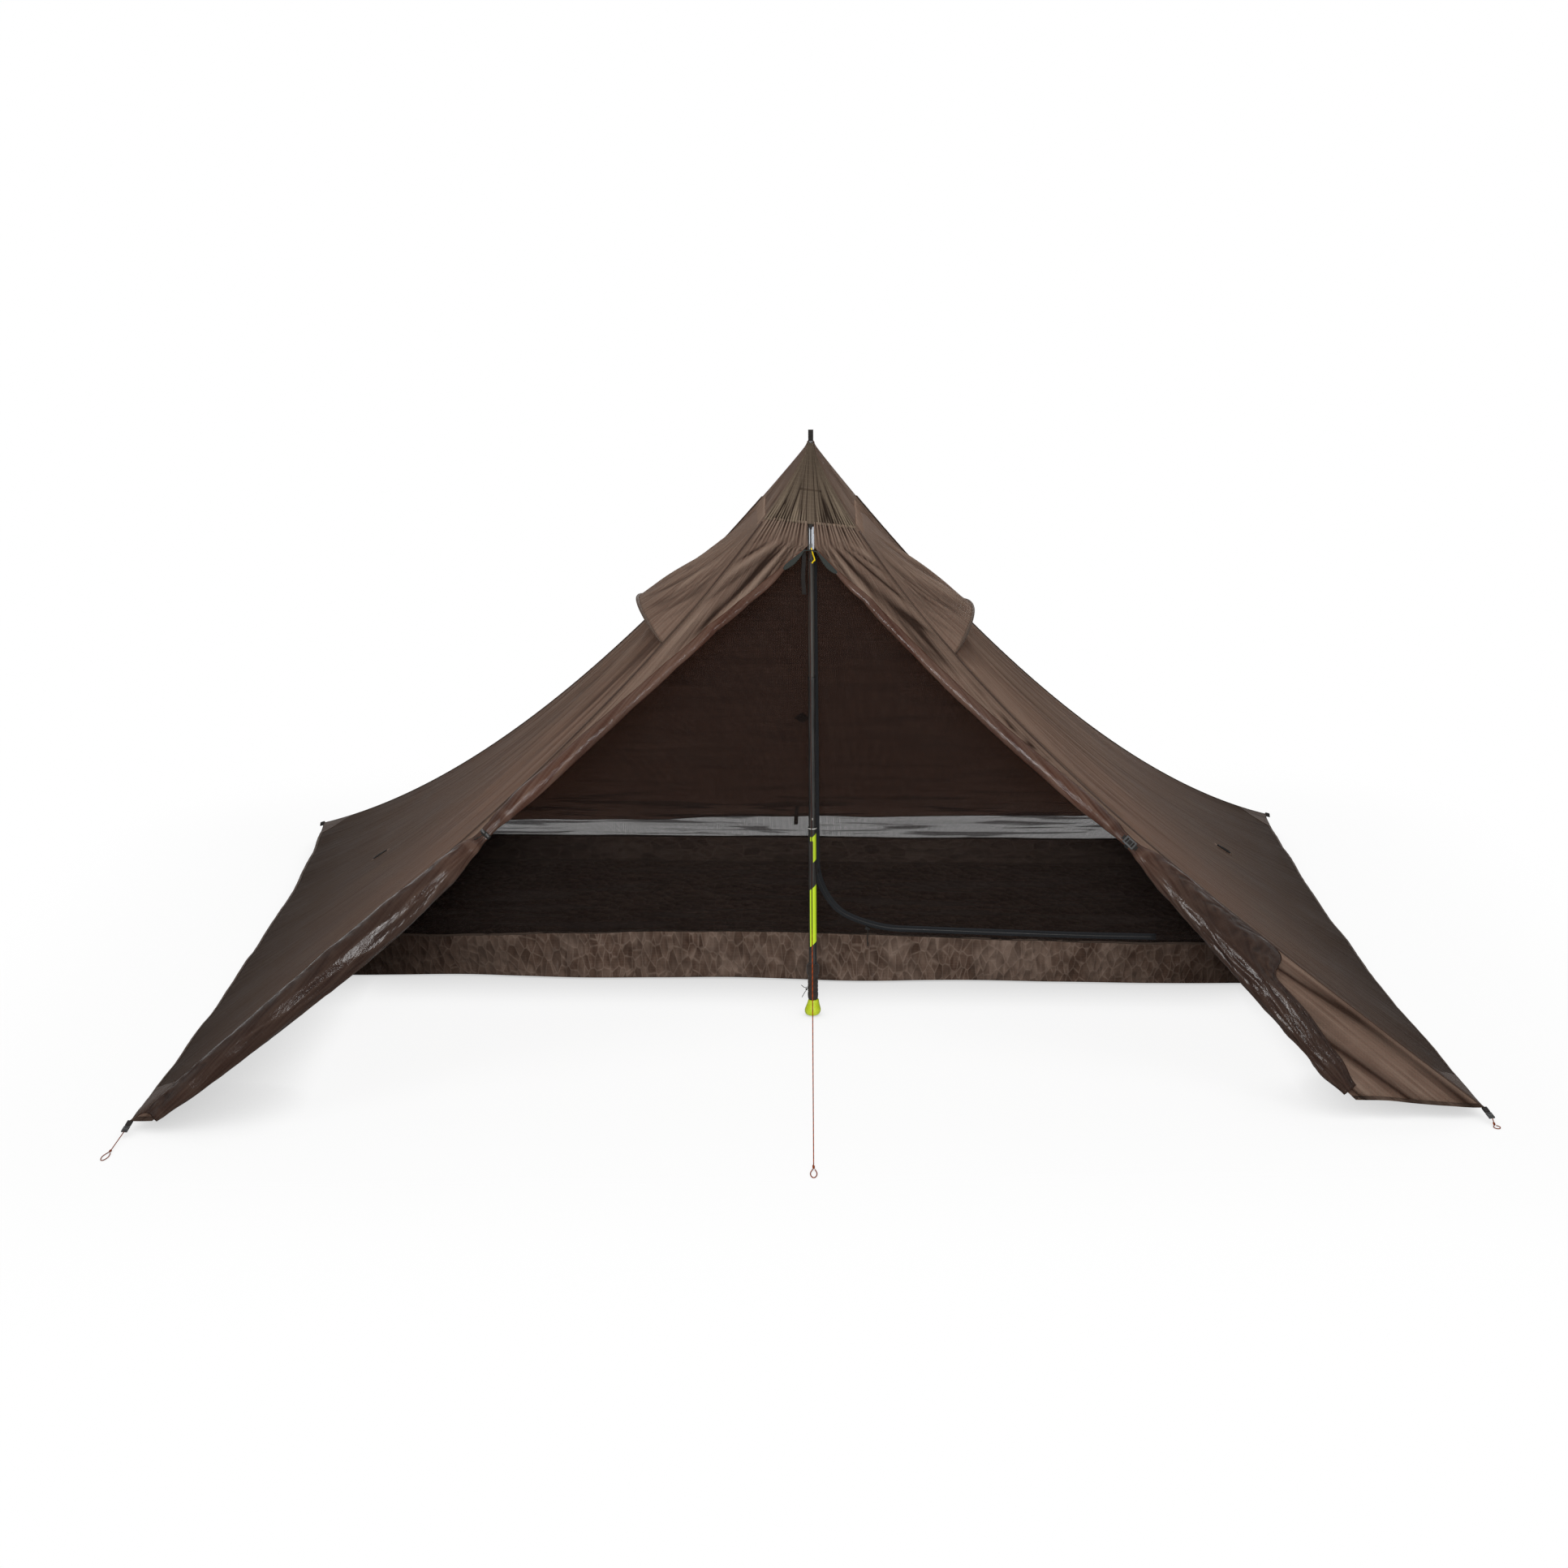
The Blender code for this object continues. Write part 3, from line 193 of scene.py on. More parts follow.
# Coated ripstop nylon. Its thread runs with the cloth's own map, in metres, and its tension streaks
# with a second map, whose x goes across the panel and whose y goes down it.
def coatedNylon(name, colours, roughness, gloss, glow, glowShare, streaks=0.8, crumple=0.30,
                pulled=(60.0, 3.0), wearAndFoldShade=1.0, facets=0.0, shade=None):
    deep, middle, light = colours
    material, tree, shader = startMaterial(name, {"IOR": 1.46, "Specular IOR Level": gloss})
    clothMap, pullMap = (addNode(tree, "UVMap", {"uv_map": layer}) for layer in ("cloth", "pull"))
    # Clouds of dye and wear, a hand's width across
    cloud = addNode(tree, "TexNoise", {"Vector": clothMap, "Scale": 7.0, "Detail": 4.0, "Roughness": 0.62})
    # Tension streaks: many across the panel, few down it
    stretched = addNode(tree, "Mapping", {"Vector": pullMap, "Scale": (*pulled, 1.0)})
    streak = addNode(tree, "TexNoise", {"Vector": stretched, "Scale": 1.0, "Detail": 5.0, "Roughness": 0.55,
                                        "Distortion": 0.3})
    # Sharp creases from packing, 15 to 40 mm apart: the noise is folded at its middle value
    folded = addNode(tree, "TexNoise", {"Vector": clothMap, "Scale": 22.0, "Detail": 4.0, "Roughness": 0.55,
                                        "Distortion": 1.4})
    folded = addNode(tree, "Math", {"operation": "SUBTRACT", 0: folded, 1: 0.5})
    folded = addNode(tree, "Math", {"operation": "ABSOLUTE", 0: folded})
    # Ripstop squares of 6 mm. The real ones are 5 mm or less, just too fine to show.
    grid = addNode(tree, "TexBrick", {"Vector": clothMap, "offset": 0.0, "Scale": 1.0, "Mortar Size": 0.0007,
                                      "Mortar Smooth": 0.5, "Brick Width": 0.006, "Row Height": 0.006}, "Fac")
    tone = layColour(tree, deep, cloud, (0.35, 0.68, 0.0, 1.0), middle)
    # The pale streaks are a painted sheen along the tension lines
    tone = layColour(tree, tone, streak, (0.40, 0.70, 0.0, 0.55), light)
    tone = layColour(tree, tone, grid, (0.0, 1.0, 0.0, 0.12), light)
    height, depth = streak, 0.004
    if facets:
        # Crushed cloth: flat facets between straight creases, each facing its own way. Each facet's tone is
        # painted light and shade as if it were lit from its own angle, and a thin painted highlight runs
        # along the creases.
        spot = addNode(tree, "Mapping", {"Vector": clothMap, "Rotation": (0.0, 0.0, radians(28)),
                                         "Scale": (1.0, 0.85, 1.0)})
        cell = addNode(tree, "TexVoronoi", {"Vector": spot, "Scale": facets}, "Color")
        edge = addNode(tree, "TexVoronoi", {"feature": "DISTANCE_TO_EDGE", "Vector": spot, "Scale": facets},
                       "Distance")
        face = addNode(tree, "SeparateXYZ", (cell,), "X")
        tone = layColour(tree, tone, face, (0.45, 1.0, 0.0, 0.20), light)
        tone = layColour(tree, tone, face, (0.0, 0.45, 0.30, 0.0), foldShadeColour)
        tone = layColour(tree, tone, edge, (0.0, 0.085, 0.55, 0.0), light)
        height, depth = cell.node.outputs["Distance"], 0.016
    # Painted shade in the creases of the folds and a painted highlight on their crests, both read from the
    # crease attribute
    crease = addNode(tree, "Attribute", {"attribute_name": "crease"}, "Fac")
    tone = layColour(tree, tone, crease, (0.05, 0.75, 0.0, 0.90 * wearAndFoldShade), foldShadeColour)
    tone = layColour(tree, tone, crease, (-0.6, -0.05, 0.60 * wearAndFoldShade, 0.0), light)
    glowTone = linearColour(glow)
    if shade:
        # Painted shade on cloth that lies in the dark, growing between two places: along the panel, or out
        # from the middle of the tent
        kind, start, end, share = shade
        if kind == "down":
            reach = addNode(tree, "SeparateXYZ", (pullMap,), "Y")
        else:
            reach = addNode(tree, "SeparateXYZ", (addNode(tree, "TexCoord", output="Object"),), "X")
            reach = addNode(tree, "Math", {"operation": "ABSOLUTE", 0: reach})
        tone = layColour(tree, tone, reach, (start, end, 0.0, share), shadeDark)
        glowTone = layColour(tree, glow, reach, (start, end, 0.0, share), shadeDark)
    bump = addNode(tree, "Bump", {"Height": height, "Strength": streaks, "Distance": depth})
    bump = addNode(tree, "Bump", {"Height": folded, "Strength": crumple, "Distance": 0.012, "Normal": bump})
    bump = addNode(tree, "Bump", {"Height": grid, "Strength": 0.12, "Distance": 0.0004, "Normal": bump})
    rough = addNode(tree, "MapRange", (cloud, 0.3, 0.7, roughness - 0.06, roughness + 0.08))
    wire(tree, shader, {"Base Color": tone, "Normal": bump, "Roughness": rough})
    behind = addNode(tree, "BsdfTranslucent", {"Color": glowTone, "Normal": bump})
    toSurface(tree, addNode(tree, "MixShader", (glowShare, shader.outputs[0], behind)))
    return material


# Mosquito net of black yarn with 1.5 mm meshes. Cover is the share of light that it stops.
def mosquitoNet(name, colours, cover):
    material, tree, shader = startMaterial(name, {"Roughness": 0.8, "IOR": 1.5, "Specular IOR Level": 0.06})
    clothMap = addNode(tree, "UVMap", {"uv_map": "cloth"})
    # The meshes are drawn 3 mm wide, twice their real size, so that they show close by
    meshes = addNode(tree, "TexVoronoi", {"feature": "DISTANCE_TO_EDGE", "Vector": clothMap, "Scale": 330.0,
                                          "Randomness": 0.15}, "Distance")
    folds = addNode(tree, "TexNoise", {"Vector": clothMap, "Scale": 9.0, "Detail": 4.0, "Roughness": 0.5,
                                       "Distortion": 1.0})
    tone = addNode(tree, "Mix", {"data_type": "RGBA", 0: folds, 6: colours[0], 7: colours[1]}, 2)
    # Where the net lies in folds two layers of it stop more light, most of them at its foot
    spot = addNode(tree, "Mapping", {"Vector": clothMap, "Rotation": (0.0, 0.0, radians(-30)),
                                     "Scale": (3.5, 30.0, 1.0)})
    doubled = addNode(tree, "TexNoise", {"Vector": spot, "Scale": 1.0, "Detail": 3.0, "Roughness": 0.5,
                                         "Distortion": 0.6})
    doubled = addNode(tree, "MapRange", (doubled, 0.53, 0.60, 0.0, 0.30))
    down = addNode(tree, "SeparateXYZ", (clothMap,), "Y")
    foot = addNode(tree, "MapRange", (down, 1.10, 1.25, 0.15, 1.0))
    doubled = addNode(tree, "Math", {"operation": "MULTIPLY", 0: doubled, 1: foot})
    single = addNode(tree, "MapRange", (meshes, 0.08, 0.26, cover + 0.16, cover - 0.10))
    bump = addNode(tree, "Bump", {"Height": folds, "Strength": 0.3, "Distance": 0.004})
    wire(tree, shader, {"Base Color": tone, "Normal": bump,
                        "Alpha": addNode(tree, "Math", {"operation": "ADD", 0: single, 1: doubled})})
    return material


# Links the tone, roughness and bump of a plain surface to its shader
def finishSurface(tree, shader, tone, grain, rough, height, strength, depth):
    bump = addNode(tree, "Bump", {"Height": height, "Strength": strength, "Distance": depth})
    wire(tree, shader, {"Base Color": tone, "Roughness": addNode(tree, "MapRange", (grain, *rough)),
                        "Normal": bump})


softYarn = {"IOR": 1.5, "Sheen Weight": 0.03, "Specular IOR Level": 0.12}


# Nylon webbing and tape, ribbed across its length
def wovenTape(name, colours, rib, roughness):
    material, tree, shader = startMaterial(name, softYarn)
    clothMap = addNode(tree, "UVMap", {"uv_map": "cloth"})
    ribs = addNode(tree, "TexWave", {"bands_direction": "Y", "Vector": clothMap, "Scale": 1 / (rib * 20),
                                     "Distortion": 0.4}, "Fac")
    fuzz = addNode(tree, "TexNoise", {"Vector": clothMap, "Scale": 700.0, "Detail": 3.0})
    tone = layColour(tree, colours[0], fuzz, (0.35, 0.65, 0.0, 1.0), colours[1])
    finishSurface(tree, shader, tone, fuzz, (0.3, 0.7, roughness - 0.1, roughness + 0.1), ribs, 0.6, 0.0005)
    return material


# Braided cord: slanting strands, 2 mm apart. Above a height it may be soiled dark.
def braidedCord(name, colours, darkAbove=9.0):
    material, tree, shader = startMaterial(name, softYarn)
    place = addNode(tree, "TexCoord", output="Object")
    slanted = addNode(tree, "Mapping", {"Vector": place, "Rotation": (0.0, 0.0, radians(35))})
    strands = addNode(tree, "TexWave", {"Vector": slanted, "Scale": 80.0, "Distortion": 0.8}, "Fac")
    tone = addNode(tree, "Mix", {"data_type": "RGBA", 0: strands, 6: colours[0], 7: colours[1]}, 2)
    height = addNode(tree, "SeparateXYZ", (place,), "Z")
    tone = layColour(tree, tone, height, (darkAbove, darkAbove + 0.05, 0.0, 0.93), "#0d0b0a")
    finishSurface(tree, shader, tone, strands, (0.0, 1.0, 0.55, 0.75), strands, 0.5, 0.0004)
    return material


# Moulded plastic: fine spark-eroded grain, paler where it is rubbed
def mouldedPlastic(name, colours, roughness):
    material, tree, shader = startMaterial(name, {"IOR": 1.49, "Specular IOR Level": 0.5})
    place = addNode(tree, "TexCoord", output="Object")
    grain = addNode(tree, "TexNoise", {"Vector": place, "Scale": 1400.0, "Detail": 2.0})
    rubbed = addNode(tree, "TexNoise", {"Vector": place, "Scale": 60.0, "Detail": 5.0, "Roughness": 0.7})
    tone = layColour(tree, colours[0], rubbed, (0.45, 0.75, 0.0, 1.0), colours[1])
    finishSurface(tree, shader, tone, rubbed, (0.3, 0.7, roughness - 0.08, roughness + 0.12), grain, 0.25,
                  0.0002)
    return material


# Anodised aluminium tube, black or painted in bands. A band is (from height, to height, slant, colour,
# least x, most x) on the side that faces the doors. Long scratches and worn specks show bare metal.
def anodisedTube(name, ground, bands, wear):
    material, tree, shader = startMaterial(name, {"Coat Weight": 0.06, "Coat Roughness": 0.2,
                                                  "Specular IOR Level": 0.3})
    place = addNode(tree, "TexCoord", output="Object")
    x, z = (addNode(tree, "SeparateXYZ", (place,), axis) for axis in ("X", "Z"))
    long = addNode(tree, "Mapping", {"Vector": place, "Scale": (900.0, 900.0, 14.0)})
    scratch = addNode(tree, "TexNoise", {"Vector": long, "Scale": 1.0, "Detail": 4.0})
    tone = layColour(tree, ground, scratch, (0.45, 0.75, 0.0, 0.5), "#6a6864")
    for low, high, slant, colour, least, most in bands:
        height = addNode(tree, "Math", {"operation": "MULTIPLY_ADD", 0: x, 1: slant, 2: z})
        inside = addNode(tree, "Math", {"operation": "GREATER_THAN", 0: height, 1: low})
        for value, limit, kind in ((height, high, "LESS_THAN"), (x, least, "GREATER_THAN"),
                                   (x, most, "LESS_THAN")):
            within = addNode(tree, "Math", {"operation": kind, 0: value, 1: limit})
            inside = addNode(tree, "Math", {"operation": "MULTIPLY", 0: inside, 1: within})
        tone = addNode(tree, "Mix", {"data_type": "RGBA", 0: inside, 6: tone, 7: colour}, 2)
    speck = addNode(tree, "TexNoise", {"Vector": place, "Scale": 260.0, "Detail": 4.0, "Roughness": 0.7})
    speck = addNode(tree, "MapRange", (speck, 0.60, 0.68, 0.0, 1.0))
    wearAndFoldShade = addNode(tree, "TexNoise", {"Vector": place, "Scale": 16.0, "Detail": 2.0})
    wearAndFoldShade = addNode(tree, "MapRange", (wearAndFoldShade, 0.55, 0.70, 0.0, wear))
    bare = addNode(tree, "Math", {"operation": "MULTIPLY", 0: speck, 1: wearAndFoldShade})
    tone = addNode(tree, "Mix", {"data_type": "RGBA", 0: bare, 6: tone, 7: "#b9b4ac"}, 2)
    wire(tree, shader, {"Metallic": addNode(tree, "MapRange", (bare, 0.0, 1.0, 0.08, 0.9))})
    finishSurface(tree, shader, tone, scratch, (0.3, 0.7, 0.28, 0.46), scratch, 0.15, 0.0002)
    return material


# Closed-cell foam of a grip: matt, with open pores of about 0.5 mm
def cellFoam(name, colours):
    material, tree, shader = startMaterial(name, {"IOR": 1.5, "Specular IOR Level": 0.2, "Sheen Weight": 0.1})
    place = addNode(tree, "TexCoord", output="Object")
    pores = addNode(tree, "TexVoronoi", {"Vector": place, "Scale": 1300.0}, "Distance")
    stain = addNode(tree, "TexNoise", {"Vector": place, "Scale": 70.0, "Detail": 4.0})
    tone = layColour(tree, colours[0], stain, (0.35, 0.7, 0.0, 1.0), colours[1])
    finishSurface(tree, shader, tone, stain, (0.3, 0.7, 0.82, 0.95), pores, 0.4, 0.0003)
    return material


# Bright metal that tools have turned: fine rings round it
def turnedSteel(name, colour):
    material, tree, shader = startMaterial(name, {"Metallic": 1.0})
    place = addNode(tree, "TexCoord", output="Object")
    rings = addNode(tree, "TexWave", {"bands_direction": "Z", "Vector": place, "Scale": 300.0,
                                      "Distortion": 0.5}, "Fac")
    tone = addNode(tree, "Mix", {"data_type": "RGBA", 0: rings, 6: colour, 7: "#8d8d90"}, 2)
    finishSurface(tree, shader, tone, rings, (0.0, 1.0, 0.22, 0.36), rings, 0.2, 0.0001)
    return material


flyNylon = coatedNylon("coatedNylonOutside", ("#645247", "#766256", "#9c8a7b"), roughness=0.54, gloss=0.04,
                       glow="#ceaa98", glowShare=0.34)
# Side panels: painted shade darkens them towards the hems
flySideNylon = coatedNylon("coatedNylonSides", ("#625045", "#745f52", "#9b8778"), roughness=0.58, gloss=0.025,
                           glow="#ceaa98", glowShare=0.34, shade=("down", 0.78, 1.46, 0.78))
seamNylon = coatedNylon("coatedNylonSeams", ("#382b25", "#46372f", "#6a594e"), roughness=0.50, gloss=0.05,
                        glow="#8a6a58", glowShare=0.12)
# Rolled doors: painted shade darkens them from just above the ties downwards
liningNylon = coatedNylon("coatedNylonRolled", ("#3a2117", "#4a2c1f", "#7e6658"), roughness=0.15, gloss=0.20,
                          glow="#c04a1e", glowShare=0.26, streaks=0.15, crumple=0.22, pulled=(34.0, 4.0),
                          wearAndFoldShade=0.6, shade=("down", 0.66, 0.96, 0.66))
crownNylon = coatedNylon("heavyNylon", ("#51453b", "#5f5246", "#8f806d"), roughness=0.46, gloss=0.06,
                         glow="#8a6248", glowShare=0.12, crumple=0.15)
# Floor cloth: painted shadow darkens its ends, out from the middle of the tent
tubNylon = coatedNylon("floorNylon", ("#4e3b31", "#5e4b40", "#8a786c"), roughness=0.42, gloss=0.08,
                       glow="#8a4a2c", glowShare=0.14, streaks=0.7, crumple=0.35, pulled=(9.0, 9.0),
                       wearAndFoldShade=0.45, facets=36.0, shade=("out", 0.52, 1.02, 0.66))
blackNet = mosquitoNet("blackMosquitoNet", ("#1f1917", "#2c2522"), 0.32)
blackTape = wovenTape("blackWebbing", ("#171514", "#2a2725"), 0.0016, 0.7)
bindingTape = wovenTape("brownBinding", ("#30261f", "#463a32"), 0.0012, 0.65)
brimTape = wovenTape("brimBinding", ("#3d3028", "#52443a"), 0.0012, 0.65)
zipWeave = wovenTape("greyZipTape", ("#8c8f96", "#b9bcc2"), 0.0010, 0.4)
innerWeave = wovenTape("slateZipTape", ("#18191b", "#26282b"), 0.0010, 0.6)
yellowBraid = braidedCord("yellowBraid", ("#d8b400", "#f2d21a"))
rustBraid = braidedCord("rustBraid", ("#5a2408", "#8e3e10"))
darkBraid = braidedCord("darkBraid", ("#1a1715", "#35302b"))
blackPlastic = mouldedPlastic("blackAcetal", ("#161616", "#2b2a29"), 0.40)
whitePlastic = mouldedPlastic("whiteAcetal", ("#d9d7d2", "#f0eee9"), 0.40)
limePlastic = mouldedPlastic("limeNylon", ("#b7cc1c", "#d3e03c"), 0.42)
gripFoam = cellFoam("gripFoam", ("#2a2320", "#3a322e"))
tipSteel = turnedSteel("turnedSteel", "#6d6d70")


# Making pieces

def finishMesh(name, bm, material, sharpFrom=0):
    mesh = bpy.data.meshes.new(name)
    bm.to_mesh(mesh)
    bm.free()
    mesh.shade_smooth()
    if sharpFrom:
        mesh.set_sharp_from_angle(angle=radians(sharpFrom))
    mesh.materials.append(material)
    piece = bpy.data.objects.new(name, mesh)
    bpy.context.scene.collection.objects.link(piece)
    return piece


# In the tent the crown comes down with the pole. Pieces sewn to it go on the canopy's body, each with a mesh
# of its own.
crumple = {"body": "canopy_and_handle", "joint": "pole_middle_slide", "keep": 0.549}


def fitted(piece, body, *nodes):
    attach(piece, body)
    if nodes:
        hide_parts(*nodes)
    return piece


def squashed(piece):
    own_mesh(piece)
    return piece


def sewnOn(piece, *nodes):
    return squashed(fitted(piece, crumple["body"], *nodes))


def smooth(value):
    value = min(1.0, max(0.0, value))
    return value * value * (3 - 2 * value)


def bumps(x, y, z):
    return noise.noise(Vector((x, y, z)))


# Cloth has two maps: "cloth" in metres of cloth, and "pull" along the lines that it is pulled on
def startCloth():
    bm = bmesh.new()
    bm.loops.layers.uv.new("cloth")
    bm.loops.layers.uv.new("pull")
    bm.verts.layers.float.new("crease")
    return bm


# How deep each point lies in a fold: from zero to 1 in a crease 1.2 mm deep, below zero on a crest
def markCreases(bm, passes=6):
    layer = bm.verts.layers.float["crease"]
    bm.normal_update()
    bm.verts.index_update()
    middle = Vector((0.0, 0.4, 0.1))
    outside = sum(face.calc_area() * face.normal.dot(face.calc_center_median() - middle)
                  for face in bm.faces)
    near = [[edge.other_vert(point).index for edge in point.link_edges] for point in bm.verts]
    places = [point.co.copy() for point in bm.verts]
    for _ in range(passes):
        places = [sum((places[k] for k in ring), place) / (1 + len(ring))
                  for place, ring in zip(places, near)]
    for point, place in zip(bm.verts, places):
        depth = (place - point.co).dot(point.normal) * (1 if outside > 0 else -1)
        point[layer] = max(-1.0, min(1.0, depth / 0.0012))


# A flat grid whose points go where place(across, along) says, both from 0 to 1. It may give a crease
# as well.
def clothGrid(bm, columns, rows, place, maps, cut=None):
    clothMap, pullMap = bm.loops.layers.uv["cloth"], bm.loops.layers.uv["pull"]
    points = bmesh.ops.create_grid(bm, x_segments=columns, y_segments=rows, size=0.5)["verts"]
    shares = {point: (point.co.x + 0.5, 0.5 - point.co.y) for point in points}
    known = {point: maps(*share) for point, share in shares.items()}
    faces = list({face for point in points for face in point.link_faces})
    gone = []
    for face in faces:
        for loop in face.loops:
            loop[clothMap].uv, loop[pullMap].uv = known[loop.vert]
        if cut:
            corners = [shares[point] for point in face.verts]
            if cut(sum(c[0] for c in corners) / 4, sum(c[1] for c in corners) / 4):
                gone.append(face)
    if gone:
        bmesh.ops.delete(bm, geom=gone, context="FACES")
    layer = bm.verts.layers.float.get("crease")
    for point in points:
        if point.is_valid:
            spot = place(*shares[point])
            if isinstance(spot, tuple):
                spot, point[layer] = spot
            point.co = spot


def flatMaps(width, length):
    def maps(across, along):
        return (across * width, along * length), (across * width, along * length)
    return maps


def thicken(piece, thickness):
    wall = piece.modifiers.new("thickness", "SOLIDIFY")
    wall.thickness = thickness
    wall.offset = 0.0
    return piece


def finishCloth(name, bm, material, thickness):
    bmesh.ops.remove_doubles(bm, verts=bm.verts, dist=0.00002)
    bmesh.ops.recalc_face_normals(bm, faces=bm.faces)
    layer = bm.verts.layers.float["crease"]
    if not any(point[layer] for point in bm.verts):
        markCreases(bm)
    return thicken(finishMesh(name, bm, material), thickness)


def clothPiece(name, columns, rows, place, size, material, thickness, cut=None):
    bm = startCloth()
    clothGrid(bm, columns, rows, place, flatMaps(*size), cut)
    return finishCloth(name, bm, material, thickness)


# Directions along a line of points: at each one its run, and two ways square to it
def lineFrames(points, closed=False):
    frames = []
    side = None
    for k, point in enumerate(points):
        before = points[k - 1] if k or closed else point
        after = points[(k + 1) % len(points)] if k + 1 < len(points) or closed else point
        run = (after - before).normalized()
        if side is None:
            side = run.orthogonal().normalized()
        side = (side - run * side.dot(run)).normalized()
        frames.append((run, side, run.cross(side)))
    return frames


# A cord or tube along a line. Its radius is a number or a function of the point's number, and flatness
# squeezes it towards wide.
def tubeInto(bm, points, size, sides=10, flatness=1.0, wide=None, closed=False):
    radiusAt = size if callable(size) else lambda k: size
    frames = lineFrames(points, closed)
    line = points + [points[0]] if closed else points
    frames = frames + [frames[0]] if closed else frames
    count = len(line)
    lengths = [0.0]
    for a, b in zip(line, line[1:]):
        lengths.append(lengths[-1] + (b - a).length)

    def place(around, along):
        k = min(count - 1, int(along * (count - 1) + 0.5))
        run, side, up = frames[k]
        if wide is not None:
            side = (wide - run * wide.dot(run)).normalized()
            up = run.cross(side)
        radius = radiusAt(k)
        angle = 2 * pi * around
        return line[k] + side * (radius * cos(angle)) + up * (radius * flatness * sin(angle))

    def maps(around, along):
        k = min(count - 1, int(along * (count - 1) + 0.5))
        spot = (around * 2 * pi * radiusAt(0), lengths[k])
        return spot, spot

    clothGrid(bm, sides, count - 1, place, maps)


def finishTube(name, bm, material, sharpFrom=0):
    bmesh.ops.remove_doubles(bm, verts=bm.verts, dist=0.00001)
    bmesh.ops.holes_fill(bm, edges=[edge for edge in bm.edges if edge.is_boundary])
    bmesh.ops.recalc_face_normals(bm, faces=bm.faces)
    return finishMesh(name, bm, material, sharpFrom)


def tubePiece(name, material, points, size, *shape, closed=False):
    bm = startCloth()
    tubeInto(bm, points, size, *shape, closed=closed)
    return finishTube(name, bm, material)


# A body turned on a lathe about the line through centre, from (radius, height) pairs
def turnedPiece(name, profile, material, sides=48, centre=(0, 0, 0), axis=(0, 0, 1), radial=(1, 0, 0),
                sharpFrom=35):
    bm = bmesh.new()
    centre, axis, radial = Vector(centre), Vector(axis).normalized(), Vector(radial).normalized()
    points = [bm.verts.new(centre + radial * radius + axis * height) for radius, height in profile]
    for a, b in zip(points, points[1:]):
        bm.edges.new((a, b))
    bmesh.ops.spin(bm, geom=bm.verts[:] + bm.edges[:], cent=centre, axis=axis, angle=2 * pi, steps=sides,
                   use_merge=True)
    bmesh.ops.remove_doubles(bm, verts=bm.verts, dist=0.00001)
    bmesh.ops.recalc_face_normals(bm, faces=bm.faces)
    return finishMesh(name, bm, material, sharpFrom)


# A smooth curve through the points of a route
def smoothRoute(route, count):
    points = [Vector(p) for p in route]
    points = [2 * points[0] - points[1]] + points + [2 * points[-1] - points[-2]]
    result = []
    for k in range(count):
        place = (len(points) - 3) * k / (count - 1)
        i = min(int(place), len(points) - 4)
        f = place - i
        a, b, c, d = points[i:i + 4]
        result.append((2 * b + (c - a) * f + (2 * a - 5 * b + 4 * c - d) * f ** 2
                       + (3 * b - a - 3 * c + d) * f ** 3) / 2)
    return result


def lineLength(points):
    return sum((b - a).length for a, b in zip(points, points[1:]))


def readTable(table, share, eased=True):
    for (low, lowValue), (high, highValue) in zip(table, table[1:]):
        if share <= high:
            f = max(0.0, (share - low) / (high - low))
            return lowValue + (highValue - lowValue) * (smooth(f) if eased else f)
    return table[-1][1]


buildCamera()
buildStudio()
print("stage: camera, studio and materials made")


# Fly: the surface that the solids are made on, as shares down from the crown and across each panel

fly = {"apexHeight": 1.33, "width": 2.788, "frontReach": 0.606, "backReach": 1.436, "shift": -0.022,
       "frontCornerHeight": 0.020, "backCornerHeight": 0.050, "hipSag": {-1: 0.125, 1: 0.165},
       "backHipSag": 0.147, "hipSkew": 0.64, "sideDraw": 0.060, "sideRise": 0.040, "backDraw": 0.136,
       "backRise": 0.045, "cloth": 0.0010, "gap": 0.0004, "crownRadius": 0.0080, "crownEnd": 0.075,
       "zipFoot": 0.101, "doorTop": 0.103}
apex = Vector((0.0, 0.0, fly["apexHeight"]))
knownHips = {}
# Metres of cloth from the crown down to the hems
clothDown = 1.5


def corner(side, front):
    reach, height = ((-fly["frontReach"], fly["frontCornerHeight"]) if front
                     else (fly["backReach"], fly["backCornerHeight"]))
    return Vector((fly["shift"] + side * fly["width"] / 2, reach, height))


def hip(side, front, down):
    key = (side, front, down)
    if key not in knownHips:
        point = apex.lerp(corner(side, front), down)
        if front:
            point.z -= fly["hipSag"][side] * sin(pi * down ** fly["hipSkew"])
        else:
            point.z -= fly["backHipSag"] * 4 * down * (1 - down)
        knownHips[key] = point
    return knownHips[key]


panelEnds = {"front": ((left, True), (right, True)), "back": ((right, False), (left, False)),
             "left": ((left, False), (left, True)), "right": ((right, True), (right, False))}
panelDraw = {"front": Vector((0, 0, 0)), "back": Vector((0, -fly["backDraw"], fly["backRise"])),
             "left": Vector((fly["sideDraw"], 0, fly["sideRise"])),
             "right": Vector((-fly["sideDraw"], 0, fly["sideRise"]))}


def flyPoint(panel, down, across):
    first, second = panelEnds[panel]
    point = hip(*first, down).lerp(hip(*second, down), across)
    point = point + panelDraw[panel] * (4 * across * (1 - across) * down ** 2)
    flat = Vector((point.x, point.y, 0.0))
    if flat.length == 0:
        return point
    wide = flat.normalized() * sqrt(flat.length_squared + fly["crownRadius"] ** 2)
    return Vector((wide.x, wide.y, point.z))


